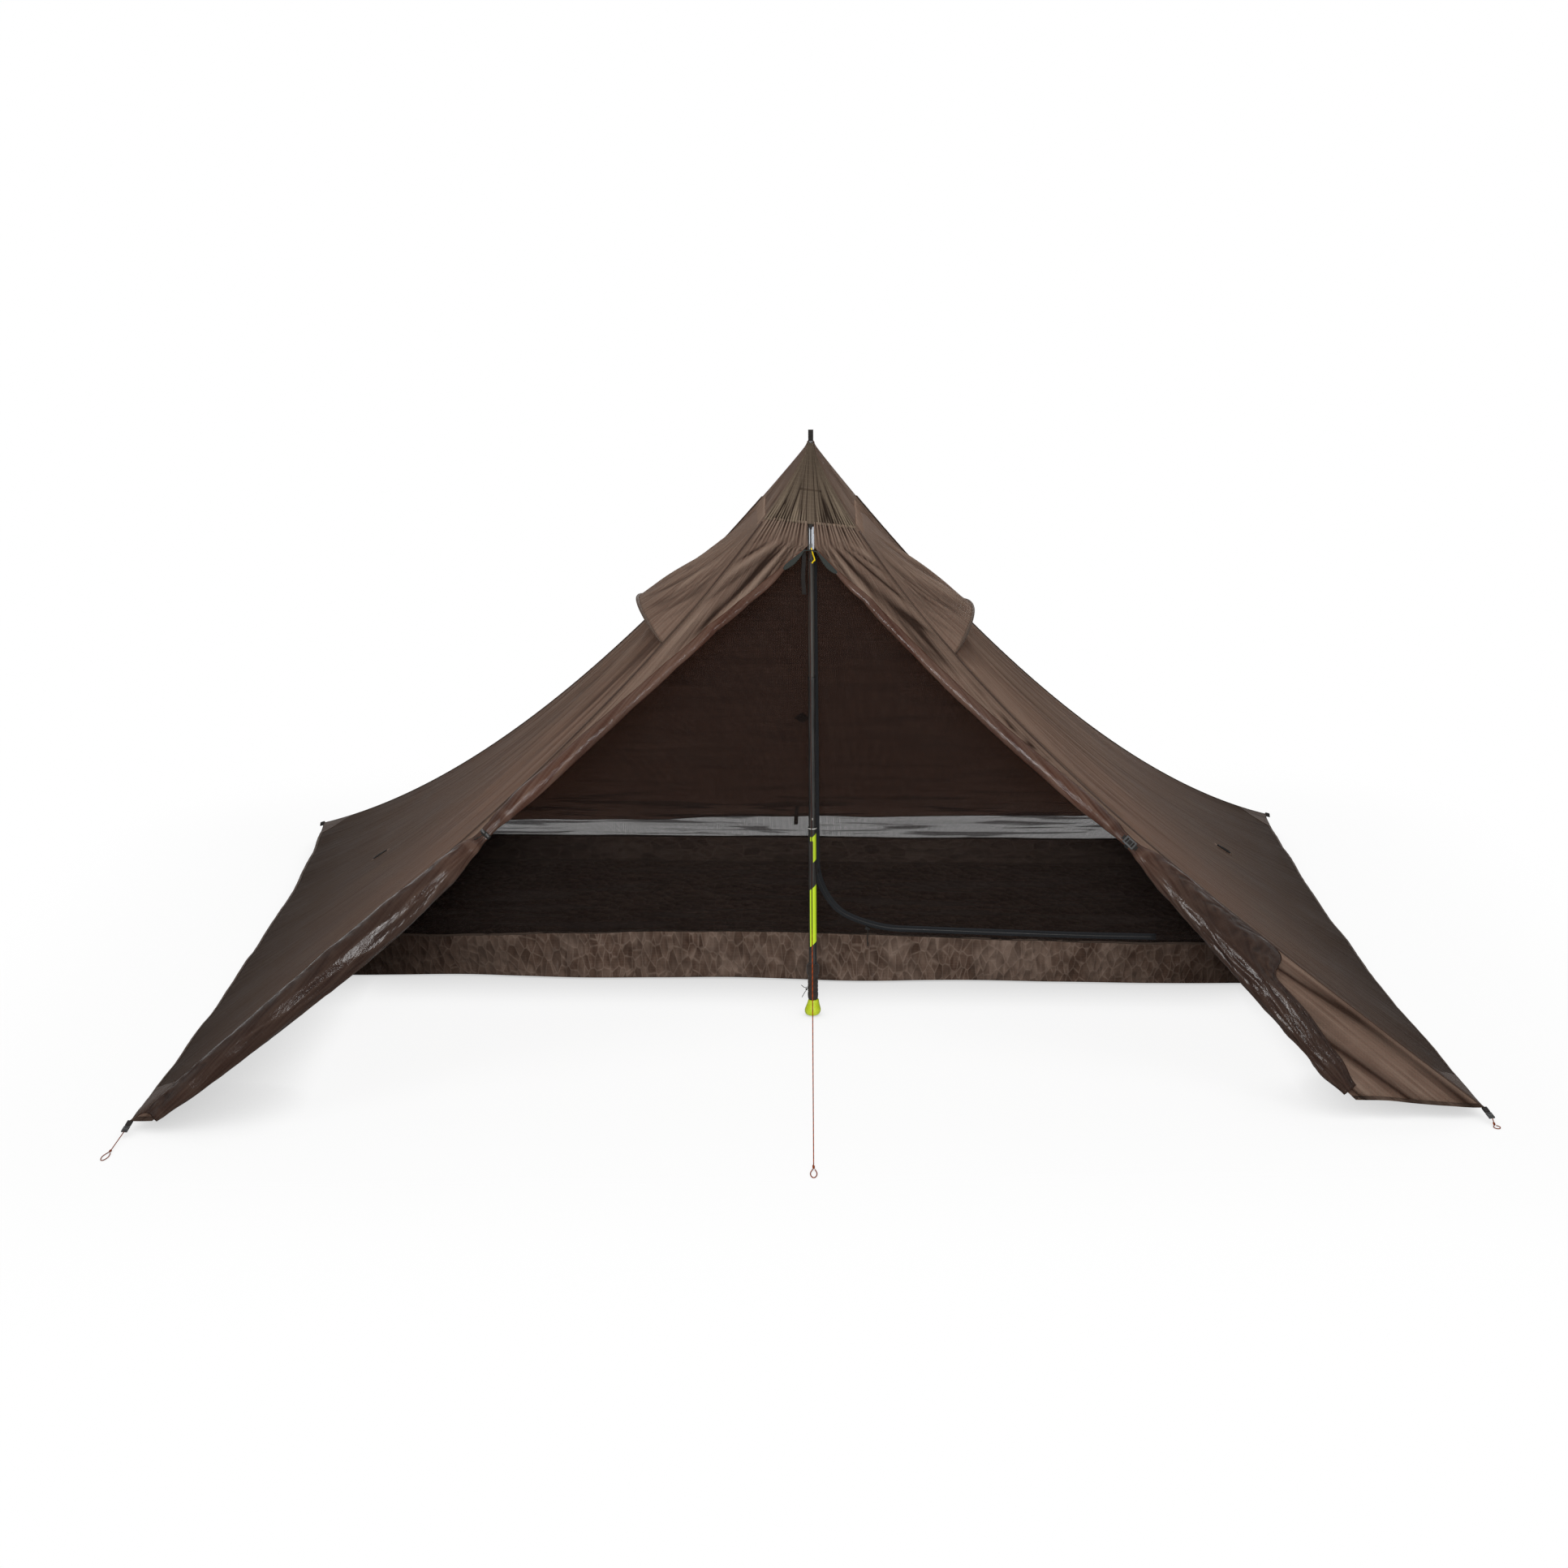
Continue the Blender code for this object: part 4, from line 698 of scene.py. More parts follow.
def flyNormal(panel, down, across):
    step = 0.01
    a = flyPoint(panel, min(down + step, 1.0), across) - flyPoint(panel, max(down - step, 0.0), across)
    b = flyPoint(panel, down, min(across + step, 1.0)) - flyPoint(panel, down, max(across - step, 0.0))
    normal = a.cross(b).normalized()
    return normal if normal.z > 0 else -normal


def panelWidth(panel, down):
    first, second = panelEnds[panel]
    return (hip(*second, down) - hip(*first, down)).length


# Side panels run across from the back hip on the left and from the front hip on the right
def fromFront(panel, share):
    return 1.0 - share if panel == "left" else share


# Folds with sharp bottoms and round crests, and the painted shade of each spot of them: dark in the creases,
# a painted highlight on the crests
def furrow(x, y, z):
    return 2.2 * abs(bumps(x, y, z)) - 0.45


def dark(fold):
    return (-fold / 0.45) ** 2 if fold < 0 else -0.6 * min(1.0, fold / 0.4)


# Folds of the cloth: slack between the hips, streaks that fan out under the hoods, folds drawn from the zip
# head across the front, gathers under the crown and bunched cloth above the ties
folds = {"slack": 0.0080, "streaks": 0.0066, "fine": 0.0008, "drawn": 0.0078, "gathers": 0.0022,
         "gatherWidth": 0.0065, "hemWave": 0.004, "crumple": 0.0085, "bands": 0.0065, "hemRise": 0.016,
         "seeds": {"front": 3.1, "left": 11.7, "right": 23.3, "back": 37.9},
         "marks": {"front": 1.0, "left": 0.55, "right": 0.55, "back": 0.15}}


def foldHeight(panel, down, across):
    seed = folds["seeds"][panel]
    fan = across * panelWidth(panel, 1.0)
    width = panelWidth(panel, down)
    calm = smooth(min(across, 1 - across) * width / 0.050)
    slack = bumps(fan * 2.4, down * 2.2, seed) * folds["slack"] * sqrt(down)
    under = smooth((down - 0.10) / 0.12) * (1 - smooth((down - 0.30) / 0.45))
    under *= 0.35 if panel == "front" else 1.0
    streak = furrow(fan * 7.5, down * 2.2, seed + 5)
    thin = furrow(fan * 21, down * 3.5, seed + 9)
    height = slack + (streak + 0.35 * thin) * folds["streaks"] * under
    mark = (dark(streak) + 0.5 * dark(thin)) * under * folds["marks"][panel]
    height += bumps(fan * 34, down * 3.0, seed + 2) * folds["fine"]
    height += bumps(fan * 6.5, 2.0, seed + 2) * folds["hemWave"] * smooth((down - 0.75) / 0.25)
    if panel == "front":
        calm = smooth(min(across, 1 - across) * width / 0.025) * smooth(abs(across - 0.5) * width / 0.030)
        angle = atan2(abs(across - 0.5) * width, max(down - 0.066, 0.0) * clothDown)
        drawn = furrow(angle * 9.5, down * 4, seed + (0 if across > 0.5 else 6))
        near = smooth((down - fly["crownEnd"] - 0.006) / 0.030) * (1 - smooth((down - 0.15) / 0.17))
        height += drawn * folds["drawn"] * near
        mark += dark(drawn) * near
        # Bunched cloth above the ties, most of it on the right
        middle, share = (0.36, 1.0) if across > 0.5 else (0.42, 0.45)
        where = max(0.0, 1 - abs(down - middle) / 0.10) * share
        bunch = furrow(fan * 13, down * 30, seed + 7)
        height += folds["crumple"] * where * bunch
        mark += where * dark(bunch)
        # Long bands beside the hip, from the tie down to the corner
        low = smooth((down - 0.50) / 0.12)
        reach = (1 - across if across > 0.5 else across) * width
        band = furrow(reach * (19 - 4 * down), down * 2.4 + reach * 6, seed + 4)
        height += folds["bands"] * low * band
        mark += 0.6 * low * dark(band)
        # The spread piece on the right lies out of the light
        if across > 0.5:
            mark += 0.30 * smooth((down - 0.60) / 0.15)
    near = min(1.0, max(0.0, 1 - (down - fly["crownEnd"]) / 0.045)) ** 2 * smooth(calm * 3)
    gathers = sin(2 * pi * fan * 0.075 / folds["gatherWidth"] + 3 * bumps(fan * 9, 0.0, seed))
    # The second value is painted shade: dark in the creases, below zero a painted highlight on the crests,
    # weighed panel by panel by the marks
    return calm * height + gathers * folds["gathers"] * near, calm * mark - gathers * near


def flyFolded(panel, down, across, lift=0.0):
    if panel == "front" and across > 0.8:
        # The hem of the right piece rises towards the opening
        down -= folds["hemRise"] * smooth((down - 0.85) / 0.15) * smooth((1 - across) / 0.088)
    height, mark = foldHeight(panel, down, across)
    return flyPoint(panel, down, across) + flyNormal(panel, down, across) * (height + lift), mark


def flySkin(panel, down, across, lift=0.0):
    return flyFolded(panel, down, across, lift)[0]


# Where the cloth beside each door ends, as shares (down from the crown, across the front)
doorLines = {left: [(0.103, 0.447), (0.122, 0.345), (0.168, 0.212), (0.205, 0.140), (0.257, 0.090),
                    (0.312, 0.060), (0.364, 0.044), (0.410, 0.036), (0.460, 0.029), (0.505, 0.025),
                    (0.540, 0.028), (0.588, 0.030), (0.663, 0.029), (0.741, 0.025), (0.807, 0.022),
                    (0.876, 0.020), (0.938, 0.018), (0.985, 0.016)],
             right: [(0.103, 0.548), (0.125, 0.655), (0.157, 0.768), (0.196, 0.830), (0.224, 0.862),
                     (0.258, 0.889), (0.308, 0.919), (0.359, 0.939), (0.398, 0.951), (0.434, 0.959),
                     (0.483, 0.967), (0.522, 0.968), (0.573, 0.960), (0.635, 0.952), (0.738, 0.939),
                     (0.843, 0.927), (0.917, 0.917), (0.985, 0.912)]}
zipTape = {"start": 0.0011, "halfWidth": 0.0060, "lap": 0.0016, "thickness": 0.0007, "pitch": 0.0013}


# Share across the front where the cloth between a hip and its door ends
def stripEdge(side, down):
    if down < fly["zipFoot"]:
        clear = (zipTape["halfWidth"] + fly["gap"]) / panelWidth("front", down)
        return 0.5 + side * clear
    return readTable(doorLines[side], down, eased=False)


flySheet = {"rows": 96, "sideColumns": 140, "backColumns": 60, "stripColumns": 60, "thickness": 0.0006,
            "windowTop": 0.130, "windowFoot": 0.215, "windowStart": 0.240, "windowEnd": 0.510}


def rowDown(along):
    start = fly["crownEnd"] - 0.0050
    return start + (1 - start) * (0.35 * along + 0.65 * along * along)


def flyMaps(panel, down, across):
    fan = across * panelWidth(panel, 1.0)
    return ((across - 0.5) * panelWidth(panel, down), down * clothDown), (fan, down * clothDown)


def buildFlySheet():
    bm = startCloth()
    for panel in ("left", "back", "right"):
        def place(across, along):
            return flyFolded(panel, rowDown(along), across)

        def maps(across, along):
            return flyMaps(panel, rowDown(along), across)

        def window(across, along):
            return (flySheet["windowTop"] < rowDown(along) < flySheet["windowFoot"]
                    and flySheet["windowStart"] < fromFront(panel, across) < flySheet["windowEnd"])

        columns = flySheet["backColumns" if panel == "back" else "sideColumns"]
        made = len(bm.faces)
        clothGrid(bm, columns, flySheet["rows"], place, maps, None if panel == "back" else window)
        # The side panels take the cloth with painted shade towards the hems
        for face in list(bm.faces)[made:]:
            face.material_index = 0 if panel == "back" else 1
    for side in (left, right):
        hipShare = 0.0 if side == left else 1.0

        def frontShare(across, along):
            down = rowDown(along)
            return "front", down, hipShare + (stripEdge(side, down) - hipShare) * across

        def place(across, along):
            return flyFolded(*frontShare(across, along))

        def maps(across, along):
            return flyMaps(*frontShare(across, along))

        clothGrid(bm, flySheet["stripColumns"], flySheet["rows"], place, maps)
    piece = finishCloth("flySheet", bm, flyNylon, flySheet["thickness"])
    piece.data.materials.append(flySideNylon)
    return sewnOn(piece, "fly_left_panel", "fly_right_panel", "fly_back_panel", "fly_front_left_strip",
                  "fly_front_right_strip")


# Hems are folded double and sewn: 11 mm on each face of the cloth
hem = {"width": 0.011, "lift": 0.0008, "edges": (("left", 0.0, 1.0), ("right", 0.0, 1.0), ("back", 0.0, 1.0),
                                                 ("front", 0.0, 0.016), ("front", 0.912, 1.0))}


def buildHems():
    bm = startCloth()
    for panel, start, end in hem["edges"]:
        width = panelWidth(panel, 1.0) * (end - start)

        def place(around, along):
            across = start + (end - start) * along
            share = abs(around - 0.5) * 2
            lift = hem["lift"] * (1 if around < 0.5 else -1) * smooth(share * 4)
            return flyFolded(panel, 1.0 - hem["width"] / clothDown * share, across, lift)

        def maps(around, along):
            return (around * hem["width"] * 2, along * width), (along * width, around * 0.02)

        clothGrid(bm, 8, max(8, int(width / 0.02)), place, maps)
    return sewnOn(finishCloth("flyHems", bm, seamNylon, thinCloth))


# The hips are flat-felled seams, four layers of cloth with two rows of stitches that pucker them
hipSeam = {"halfWidth": 0.0032, "thickShare": 0.40, "pucker": 0.0007, "lift": 0.0004, "points": 260}


# Share across a side panel where one of its hips is
def hipAcross(side, front):
    return 1.0 if (side == left) == front else 0.0


def buildHipSeams():
    bm = startCloth()
    for side, front in fourHips:
        panel = "left" if side == left else "right"
        across = hipAcross(side, front)
        points = []
        for k in range(hipSeam["points"]):
            down = fly["crownEnd"] + (1 - fly["crownEnd"]) * k / (hipSeam["points"] - 1)
            other = flyNormal("front" if front else "back", down, 1.0 - across)
            out = (flyNormal(panel, down, across) + other).normalized()
            points.append(flyPoint(panel, down, across) + out * hipSeam["lift"])

        def radiusAt(k):
            return hipSeam["halfWidth"] + hipSeam["pucker"] * bumps(k * 0.9, side * 3, 1.0 * front)

        run = (points[-1] - points[0]).normalized()
        wide = run.cross(Vector((0, 0, 1))).normalized()
        tubeInto(bm, points, radiusAt, 10, hipSeam["thickShare"], wide)
    return sewnOn(finishTube("flyHipSeams", bm, seamNylon))


# Crown: a cone of heavier cloth in front, gathered into pleats above the row of stitches at its foot
crown = {"columns": 190, "rows": 56, "start": 0.0006, "end": 0.0728, "pleat": 0.0042, "gathers": 0.0013,
         "gatherWidth": 0.0062, "lift": 0.0010, "plainHalf": 0.0100, "foldHalf": 0.0225, "stitchDown": 0.0375}


def crownPoint(panel, down, across):
    point = flyPoint(panel, down, across)
    if down < 0.003:
        return Vector((point.x, point.y, min(point.z, apex.z))), 0.0
    width = panelWidth(panel, crown["end"])
    seed = folds["seeds"][panel]
    edge = smooth(min(across, 1 - across) * width / 0.020)
    fan = across * width
    lift = crown["lift"]
    gathers = 0.0
    mark = 0.0
    if panel == "front":
        # A plain band runs down the middle between two flat folds, over a short row of stitches
        middle = abs(across - 0.5) * panelWidth(panel, down * 0.55 + crown["end"] * 0.45)
        folded = edge * smooth((middle - crown["foldHalf"]) / 0.006)
        # Painted shade along both fold lines
        for line in (crown["plainHalf"], crown["foldHalf"]):
            seen = max(0.0, 1 - abs(middle - line) / 0.0022) * smooth(down / 0.02)
            lift -= 0.0012 * seen
            mark += 0.8 * seen
        if abs(down - crown["stitchDown"]) < 0.0009 and middle < 0.031:
            mark = max(mark, 0.45)
        gathers = sin(2 * pi * fan / crown["gatherWidth"]) * smooth((down - 0.042) / 0.028) ** 2
        gathers *= smooth((middle - crown["plainHalf"]) / 0.004)
    else:
        lift *= 1 - smooth((down - 0.05) / 0.02)
        folded = edge * 0.5
    wide = furrow(fan * 30, down * 7, seed)
    fine = furrow(fan * 72, down * 18, seed)
    grow = smooth((down - 0.012) / 0.045)
    height = lift * edge + folded * (wide + 0.45 * fine) * crown["pleat"] * grow + gathers * crown["gathers"]
    # Painted shade in the creases of the pleats, painted highlight on their crests and on the gathers
    mark += folded * grow * (dark(wide) + 0.6 * dark(fine)) - 0.8 * gathers
    return point + flyNormal(panel, down, across) * height, max(-1.0, min(1.0, mark))


def buildCrown():
    bm = startCloth()
    for panel, columns in (("front", crown["columns"]), ("right", 60), ("back", 40), ("left", 60)):
        def downAt(along):
            return crown["start"] + (crown["end"] - crown["start"]) * along ** 1.4

        def place(across, along):
            return crownPoint(panel, downAt(along), across)

        def maps(across, along):
            down = downAt(along)
            return ((across - 0.5) * down * 2, down * clothDown), ((across - 0.5) * 2.8, down * clothDown)

        clothGrid(bm, columns, crown["rows"], place, maps)
        if panel == "front":
            frontFaces = len(bm.faces)
    for face in list(bm.faces)[frontFaces:]:
        face.material_index = 1
    piece = finishCloth("crownCone", bm, crownNylon, fullCloth)
    piece.data.materials.append(flyNylon)
    return sewnOn(piece, "crown_cone")


# Vents: a hood held out by a stiff bound brim, over a net window
vent = {"foot": {"left": 0.229, "right": 0.224}, "top": 0.080, "span": 0.750, "start": 0.008,
        "lift": {"left": 0.086, "right": 0.073}, "columns": 110, "rows": 44, "wrinkle": 0.0066,
        "brimRadius": 0.0042, "netLap": 0.008, "cloth": (0.34, 0.21), "fan": 1.4}


def hoodPoint(panel, along, around):
    down = vent["top"] + (vent["foot"][panel] - vent["top"]) * along
    across = fromFront(panel, vent["start"] + (vent["span"] - vent["start"]) * around)
    rise = sin(pi * min(1.0, max(0.0, around))) ** 0.75
    seed = folds["seeds"][panel]
    wide = furrow(around * 8 - along * 2.2, along * 0.7, seed)
    fine = furrow(around * 21 - along * 5, along * 1.8, 4.0)
    calm = sin(pi * along ** 1.3) * min(1.0, rise * 2) if 0 < along < 1 else 0.0
    lift = 0.0002 + fly["cloth"] * smooth(along / 0.1) + vent["lift"][panel] * along * rise
    lift += (wide + 0.45 * fine) * vent["wrinkle"] * calm
    # Painted shade in the creases of the wrinkles, painted highlight on their crests
    mark = (0.5 * dark(wide) + 0.4 * dark(fine)) * calm
    return flyPoint(panel, down, across) + flyNormal(panel, down, across) * lift, mark


def buildVents():
    for panel in ("left", "right"):
        bm = startCloth()

        def place(around, along):
            return hoodPoint(panel, along, around)

        def maps(around, along):
            length, depth = vent["cloth"]
            return (around * length, along * depth), (around * vent["fan"], along * depth)

        clothGrid(bm, vent["columns"], vent["rows"], place, maps)
        hood = sewnOn(finishCloth(f"{panel}VentHood", bm, flyNylon, fullCloth), f"vent_{panel}_hood")
        points = [hoodPoint(panel, 1.0, k / 60)[0] for k in range(61)]

        def brimAt(k):
            return vent["brimRadius"] * (0.4 + 0.6 * smooth(min(k, 60 - k) / 6))

        sewnOn(tubePiece(f"{panel}VentBrim", brimTape, points, brimAt, 10, 0.7), f"vent_{panel}_brim")

        def netPlace(across, along):
            top, foot = flySheet["windowTop"], flySheet["windowFoot"]
            lap = vent["netLap"] / fly["apexHeight"] * 2
            down = top - lap + (foot - top + lap * 2) * along
            start = flySheet["windowStart"] - 0.02
            share = fromFront(panel, start + (flySheet["windowEnd"] + 0.02 - start) * across)
            return flyPoint(panel, down, share) - flyNormal(panel, down, share) * 0.0014

        net = clothPiece(f"{panel}VentNet", 24, 16, netPlace, (0.13, 0.13), blackNet, thinCloth)
        sewnOn(net, f"vent_{panel}_net")


flyPiece = buildFlySheet()
hemPiece = buildHems()
seamPiece = buildHipSeams()
buildCrown()
buildVents()
print("stage: fly made")


# Doors: each one is a single sheet wound up towards its hip, tight above its tie and loose below it

door = {"tie": 0.5200, "flatness": 0.75, "rollRadius": 0.0170, "bundleRadius": {left: 0.0380, right: 0.0300},
        "end": {left: 0.996, right: 0.968}, "turns": 9, "core": 0.0030, "innerColumns": 56,
        "outerColumns": 78, "rows": 270, "thickness": 0.0004, "tieRadius": 0.0090,
        "tieClear": 0.00045, "tieBand": 0.0015, "tieReach": 0.030}
# Thickness of the rolls above the ties and of the bundles below them, as (share down, share of the full one)
rollShares = [(0.103, 0.12), (0.122, 0.20), (0.150, 0.42), (0.205, 0.52), (0.300, 0.66), (0.380, 0.84),
              (0.450, 1.0), (0.485, 0.80), (0.505, 0.58), (0.513, 0.53), (0.520, 0.53)]
bundleShares = {left: [(0.520, 0.237), (0.527, 0.237), (0.545, 0.42), (0.590, 0.72), (0.660, 0.95),
                       (0.730, 1.0), (0.800, 0.88), (0.880, 0.72), (0.940, 0.56), (0.985, 0.34),
                       (0.998, 0.24)],
                right: [(0.520, 0.30), (0.527, 0.30), (0.545, 0.46), (0.590, 0.72), (0.650, 0.84),
                        (0.740, 0.94), (0.840, 1.0), (0.920, 0.86), (0.970, 0.50)]}
knownFrames = {}


def frontOut(down):
    out = flyNormal("front", down, 0.5)
    return out if out.y < 0 else -out


def clothRadius(side, down):
    if down <= door["tie"]:
        return door["rollRadius"] * readTable(rollShares, down)
    return door["bundleRadius"][side] * readTable(bundleShares[side], down)


def doorCentre(side, down):
    half = door["flatness"] * clothRadius(side, down)
    if abs(down - door["tie"]) < door["tieReach"]:
        half = max(half, door["flatness"] * door["tieRadius"] + door["tieClear"] + door["tieBand"])
    lift = half + fly["cloth"] / 2 + fly["gap"]
    return flyPoint("front", down, readTable(doorLines[side], down, eased=False)) + frontOut(down) * lift


# Centre, run down the roll, way towards the hip, and way out from the fly
def doorFrame(side, down):
    key = (side, down)
    if key not in knownFrames:
        step = 0.004
        run = (doorCentre(side, down + step) - doorCentre(side, down - step)).normalized()
        hipWay = run.cross(frontOut(down)).normalized() * -side
        out = (frontOut(down) - run * frontOut(down).dot(run)).normalized()
        knownFrames[key] = (doorCentre(side, down), run, hipWay, out)
    return knownFrames[key]


# How loose the roll is at one place: long folds, crumples where it is loose, and pleats into the tie
looseness = {"tight": 0.030, "loose": {left: 0.060, right: 0.085}, "ridge": {left: 0.085, right: 0.130},
             "small": {left: 0.028, right: 0.050}, "pleat": 0.18}


def rollShape(side, down, angle):
    seed = 4.0 if side == left else 17.0
    x, y = cos(angle), sin(angle)
    loose = smooth((down - door["tie"]) / 0.05) if down > door["tie"] else 0.0
    long = bumps(x * 1.2 + seed, y * 1.2, down * 8)
    ridge = 0.5 - 2.2 * abs(bumps(x * 1.9 + seed, y * 1.9, down * 14))
    small = 0.4 - 2.0 * abs(bumps(x * 4.6, y * 4.6 + seed, down * 34))
    near = max(0.0, 1 - abs(down - door["tie"]) / 0.035)
    shape = 1 + long * (looseness["tight"] + (looseness["loose"][side] - looseness["tight"]) * loose)
    shape += loose * (looseness["ridge"][side] * ridge + looseness["small"][side] * small)
    return shape + looseness["pleat"] * near * near * sin(9 * angle + seed) * (1 if loose else 0.5)


# The outermost turn comes over the top of the roll from the cloth beside the hip. The tail is how far
# towards the hip it starts: all the way below the tie, but on the right only until the flap comes loose.
tail = {"angle": 62, "columns": 28, "seam": 0.0015, "flapStart": 0.70, "flapEnd": 0.79, "pucker": 0.0042}


def tailEnd(side, down):
    centre, run, hipWay, out = doorFrame(side, down)
    radius = clothRadius(side, down)
    share = readTable(doorLines[side], down, eased=False)
    width = panelWidth("front", down)
    hipReach = (share if side == left else 1 - share) * width - tail["seam"]
    reach = min(hipReach, radius * 1.9 + 0.004)
    if down > door["tie"]:
        reach += (hipReach - reach) * smooth((down - door["tie"]) / 0.03)
    end = flySkin("front", down, share + side * reach / width, 0.0004)
    if side == right and down > tail["flapStart"]:
        free = smooth((down - tail["flapStart"]) / (tail["flapEnd"] - tail["flapStart"]))
        flap = centre + hipWay * (radius * 1.12) + out * (radius * (0.30 + 0.12 * bumps(down * 22, 0.0, 5.0)))
        end = end.lerp(flap, free)
    return end


def buildDoor(side, word):
    total = door["turns"] * 2 * pi
    columns = door["innerColumns"] + door["outerColumns"] + tail["columns"]
    innerShare = door["innerColumns"] / columns
    outerShare = innerShare + door["outerColumns"] / columns
    seed = 6.0 if side == left else 9.0

    def downAt(along):
        return fly["doorTop"] + (door["end"][side] - fly["doorTop"]) * along

    def rollPoint(down, wound):
        centre, run, hipWay, out = doorFrame(side, down)
        angle = radians(tail["angle"]) + total - wound
        radius = door["core"] + (clothRadius(side, down) * 0.985 - door["core"]) * wound / total
        radius *= rollShape(side, down, angle)
        return centre + hipWay * (radius * cos(angle)) + out * (radius * door["flatness"] * sin(angle))

    def place(across, along):
        down = downAt(along)
        if across <= innerShare:
            return rollPoint(down, (total - 2 * pi) * across / innerShare)
        if across <= outerShare:
            return rollPoint(down, total - 2 * pi * (outerShare - across) / (outerShare - innerShare))
        centre, run, hipWay, out = doorFrame(side, down)
        f = (across - outerShare) / (1 - outerShare)
        start, end = rollPoint(down, total), tailEnd(side, down)
        slope = radians(tail["angle"])
        way = (hipWay * sin(slope) - out * (door["flatness"] * cos(slope))).normalized()
        control = start + way * ((end - start).length * 0.55)
        point = start * ((1 - f) ** 2) + control * (2 * f * (1 - f)) + end * (f * f)
        wavy = bumps(down * 55, f * 2.2, seed) + 0.6 * (0.4 - 2 * abs(bumps(down * 80, f * 3.0, seed + 2)))
        loose = smooth((down - door["tie"]) / 0.06)
        size = tail["pucker"] * loose * min(1.0, (end - start).length / 0.03)
        return point + out * (size * wavy * sin(pi * f) ** 0.7)

    def maps(across, along):
        down = downAt(along)
        size = (across * 1.39 * down, down * 1.45)
        return size, size

    bm = startCloth()
    clothGrid(bm, columns, door["rows"], place, maps)
    piece = sewnOn(finishCloth(f"{word}Door", bm, liningNylon, door["thickness"]), f"{word}_door_roll",
                   f"{word}_door_bundle")


# A band of webbing round the roll, closed with a toggle on the left and a flat buckle on the right
tie = {"width": 0.0100, "toggleLength": 0.0240, "toggleRadius": 0.0036, "buckle": (0.0280, 0.0180, 0.0034)}


def buildTie(side, word):
    centre, run, hipWay, out = doorFrame(side, door["tie"])
    wide = door["tieRadius"] + door["tieClear"] + door["tieBand"] / 2
    high = door["tieRadius"] * door["flatness"] + door["tieClear"] + door["tieBand"] / 2

    def place(around, across):
        angle = 2 * pi * around
        pinch = 1 + 0.05 * bumps(cos(angle) * 2, sin(angle) * 2, across * 1.5)
        bow = 0.0006 * sin(pi * across)
        return (centre + run * (tie["width"] * (across - 0.5)) + hipWay * ((wide * pinch + bow) * cos(angle))
                + out * ((high * pinch + bow) * sin(angle)))

    band = clothPiece(f"{word}DoorTie", 56, 8, place, (0.055, tie["width"]), blackTape, door["tieBand"] * 0.8)
    sewnOn(band, f"{word}_door_tie")
    seat = centre + out * (high + door["tieBand"] / 2 + 0.0003)
    if side == left:
        radius = tie["toggleRadius"]
        half = tie["toggleLength"] / 2
        profile = [(0, -half), (radius * 0.55, -half), (radius * 0.85, -half * 0.95), (radius, -half * 0.84),
                   (radius * 0.97, -half * 0.30), (radius * 0.80, -half * 0.16), (radius * 0.74, 0),
                   (radius * 0.80, half * 0.16), (radius * 0.97, half * 0.30), (radius, half * 0.84),
                   (radius * 0.85, half * 0.95), (radius * 0.55, half), (0, half)]
        toggle = turnedPiece("leftDoorToggle", profile, blackPlastic, 32, seat + out * radius, hipWay, run)
        sewnOn(toggle, "left_door_toggle")
        # The cord that holds the toggle: round its waist, then back under the band
        ring = []
        for k in range(25):
            angle = 2 * pi * k / 24 - pi / 2
            ring.append(seat + out * (radius * (1 + 1.22 * sin(angle))) + run * (radius * 1.22 * cos(angle)))
        for k in range(1, 8):
            ring.append(seat + run * (0.0035 * k) + out * (0.0009 - 0.00035 * k) + hipWay * (0.0012 * k))
        sewnOn(tubePiece("leftToggleCord", darkBraid, ring, 0.0010, 8))
    else:
        buckle = flatBuckle("rightDoorBuckle", seat + out * 0.0017, run, hipWay, *tie["buckle"])
        sewnOn(buckle, "right_door_buckle")

        # The webbing that goes up through one slot, over the middle bar and down through the other
        def strap(across, along):
            reach = -0.020 + 0.040 * along
            over = 0.0030 * smooth(1 - abs(reach) / 0.010)
            spot = seat + out * (0.0012 + over) + run * reach
            return spot + hipWay * (0.0095 * (across - 0.5))

        sewnOn(clothPiece("rightBuckleStrap", 8, 36, strap, (0.010, 0.04), blackTape, 0.0010))


# A flat buckle: a plate with two slots, its edges rounded
def flatBuckle(name, centre, along, across, length, width, thickness):
    along = along.normalized()
    across = (across - along * across.dot(along)).normalized()
    normal = along.cross(across)
    bm = bmesh.new()
    points = bmesh.ops.create_grid(bm, x_segments=3, y_segments=5, size=0.5)["verts"]
    sides = {-0.5: -0.5, -0.1667: -0.33, 0.1667: 0.33, 0.5: 0.5}
    stops = {-0.5: -0.5, -0.3: -0.35, -0.1: -0.21, 0.1: 0.21, 0.3: 0.35, 0.5: 0.5}
    slots = [face for face in bm.faces if abs(face.calc_center_median().x) < 0.1
             and 0.15 < abs(face.calc_center_median().y) < 0.25]
    bmesh.ops.delete(bm, geom=slots, context="FACES")
    for point in bm.verts:
        x = sides[min(sides, key=lambda s: abs(s - point.co.x))]
        y = stops[min(stops, key=lambda s: abs(s - point.co.y))]
        bow = thickness * 0.35 * (0.25 - y * y)
        point.co = centre + across * (width * x) + along * (length * y) + normal * bow
    bmesh.ops.recalc_face_normals(bm, faces=bm.faces)
    piece = thicken(finishMesh(name, bm, blackPlastic, 40), thickness)
    edge = piece.modifiers.new("roundedEdge", "BEVEL")
    edge.width = thickness * 0.25
    edge.segments = 2
    return piece


for side, word in bothSides:
    buildDoor(side, word)
    buildTie(side, word)
print("stage: doors made")


# Fly zip: two tapes and a coil, closed above the doors, with a slider, a yellow pull and a patch at its head

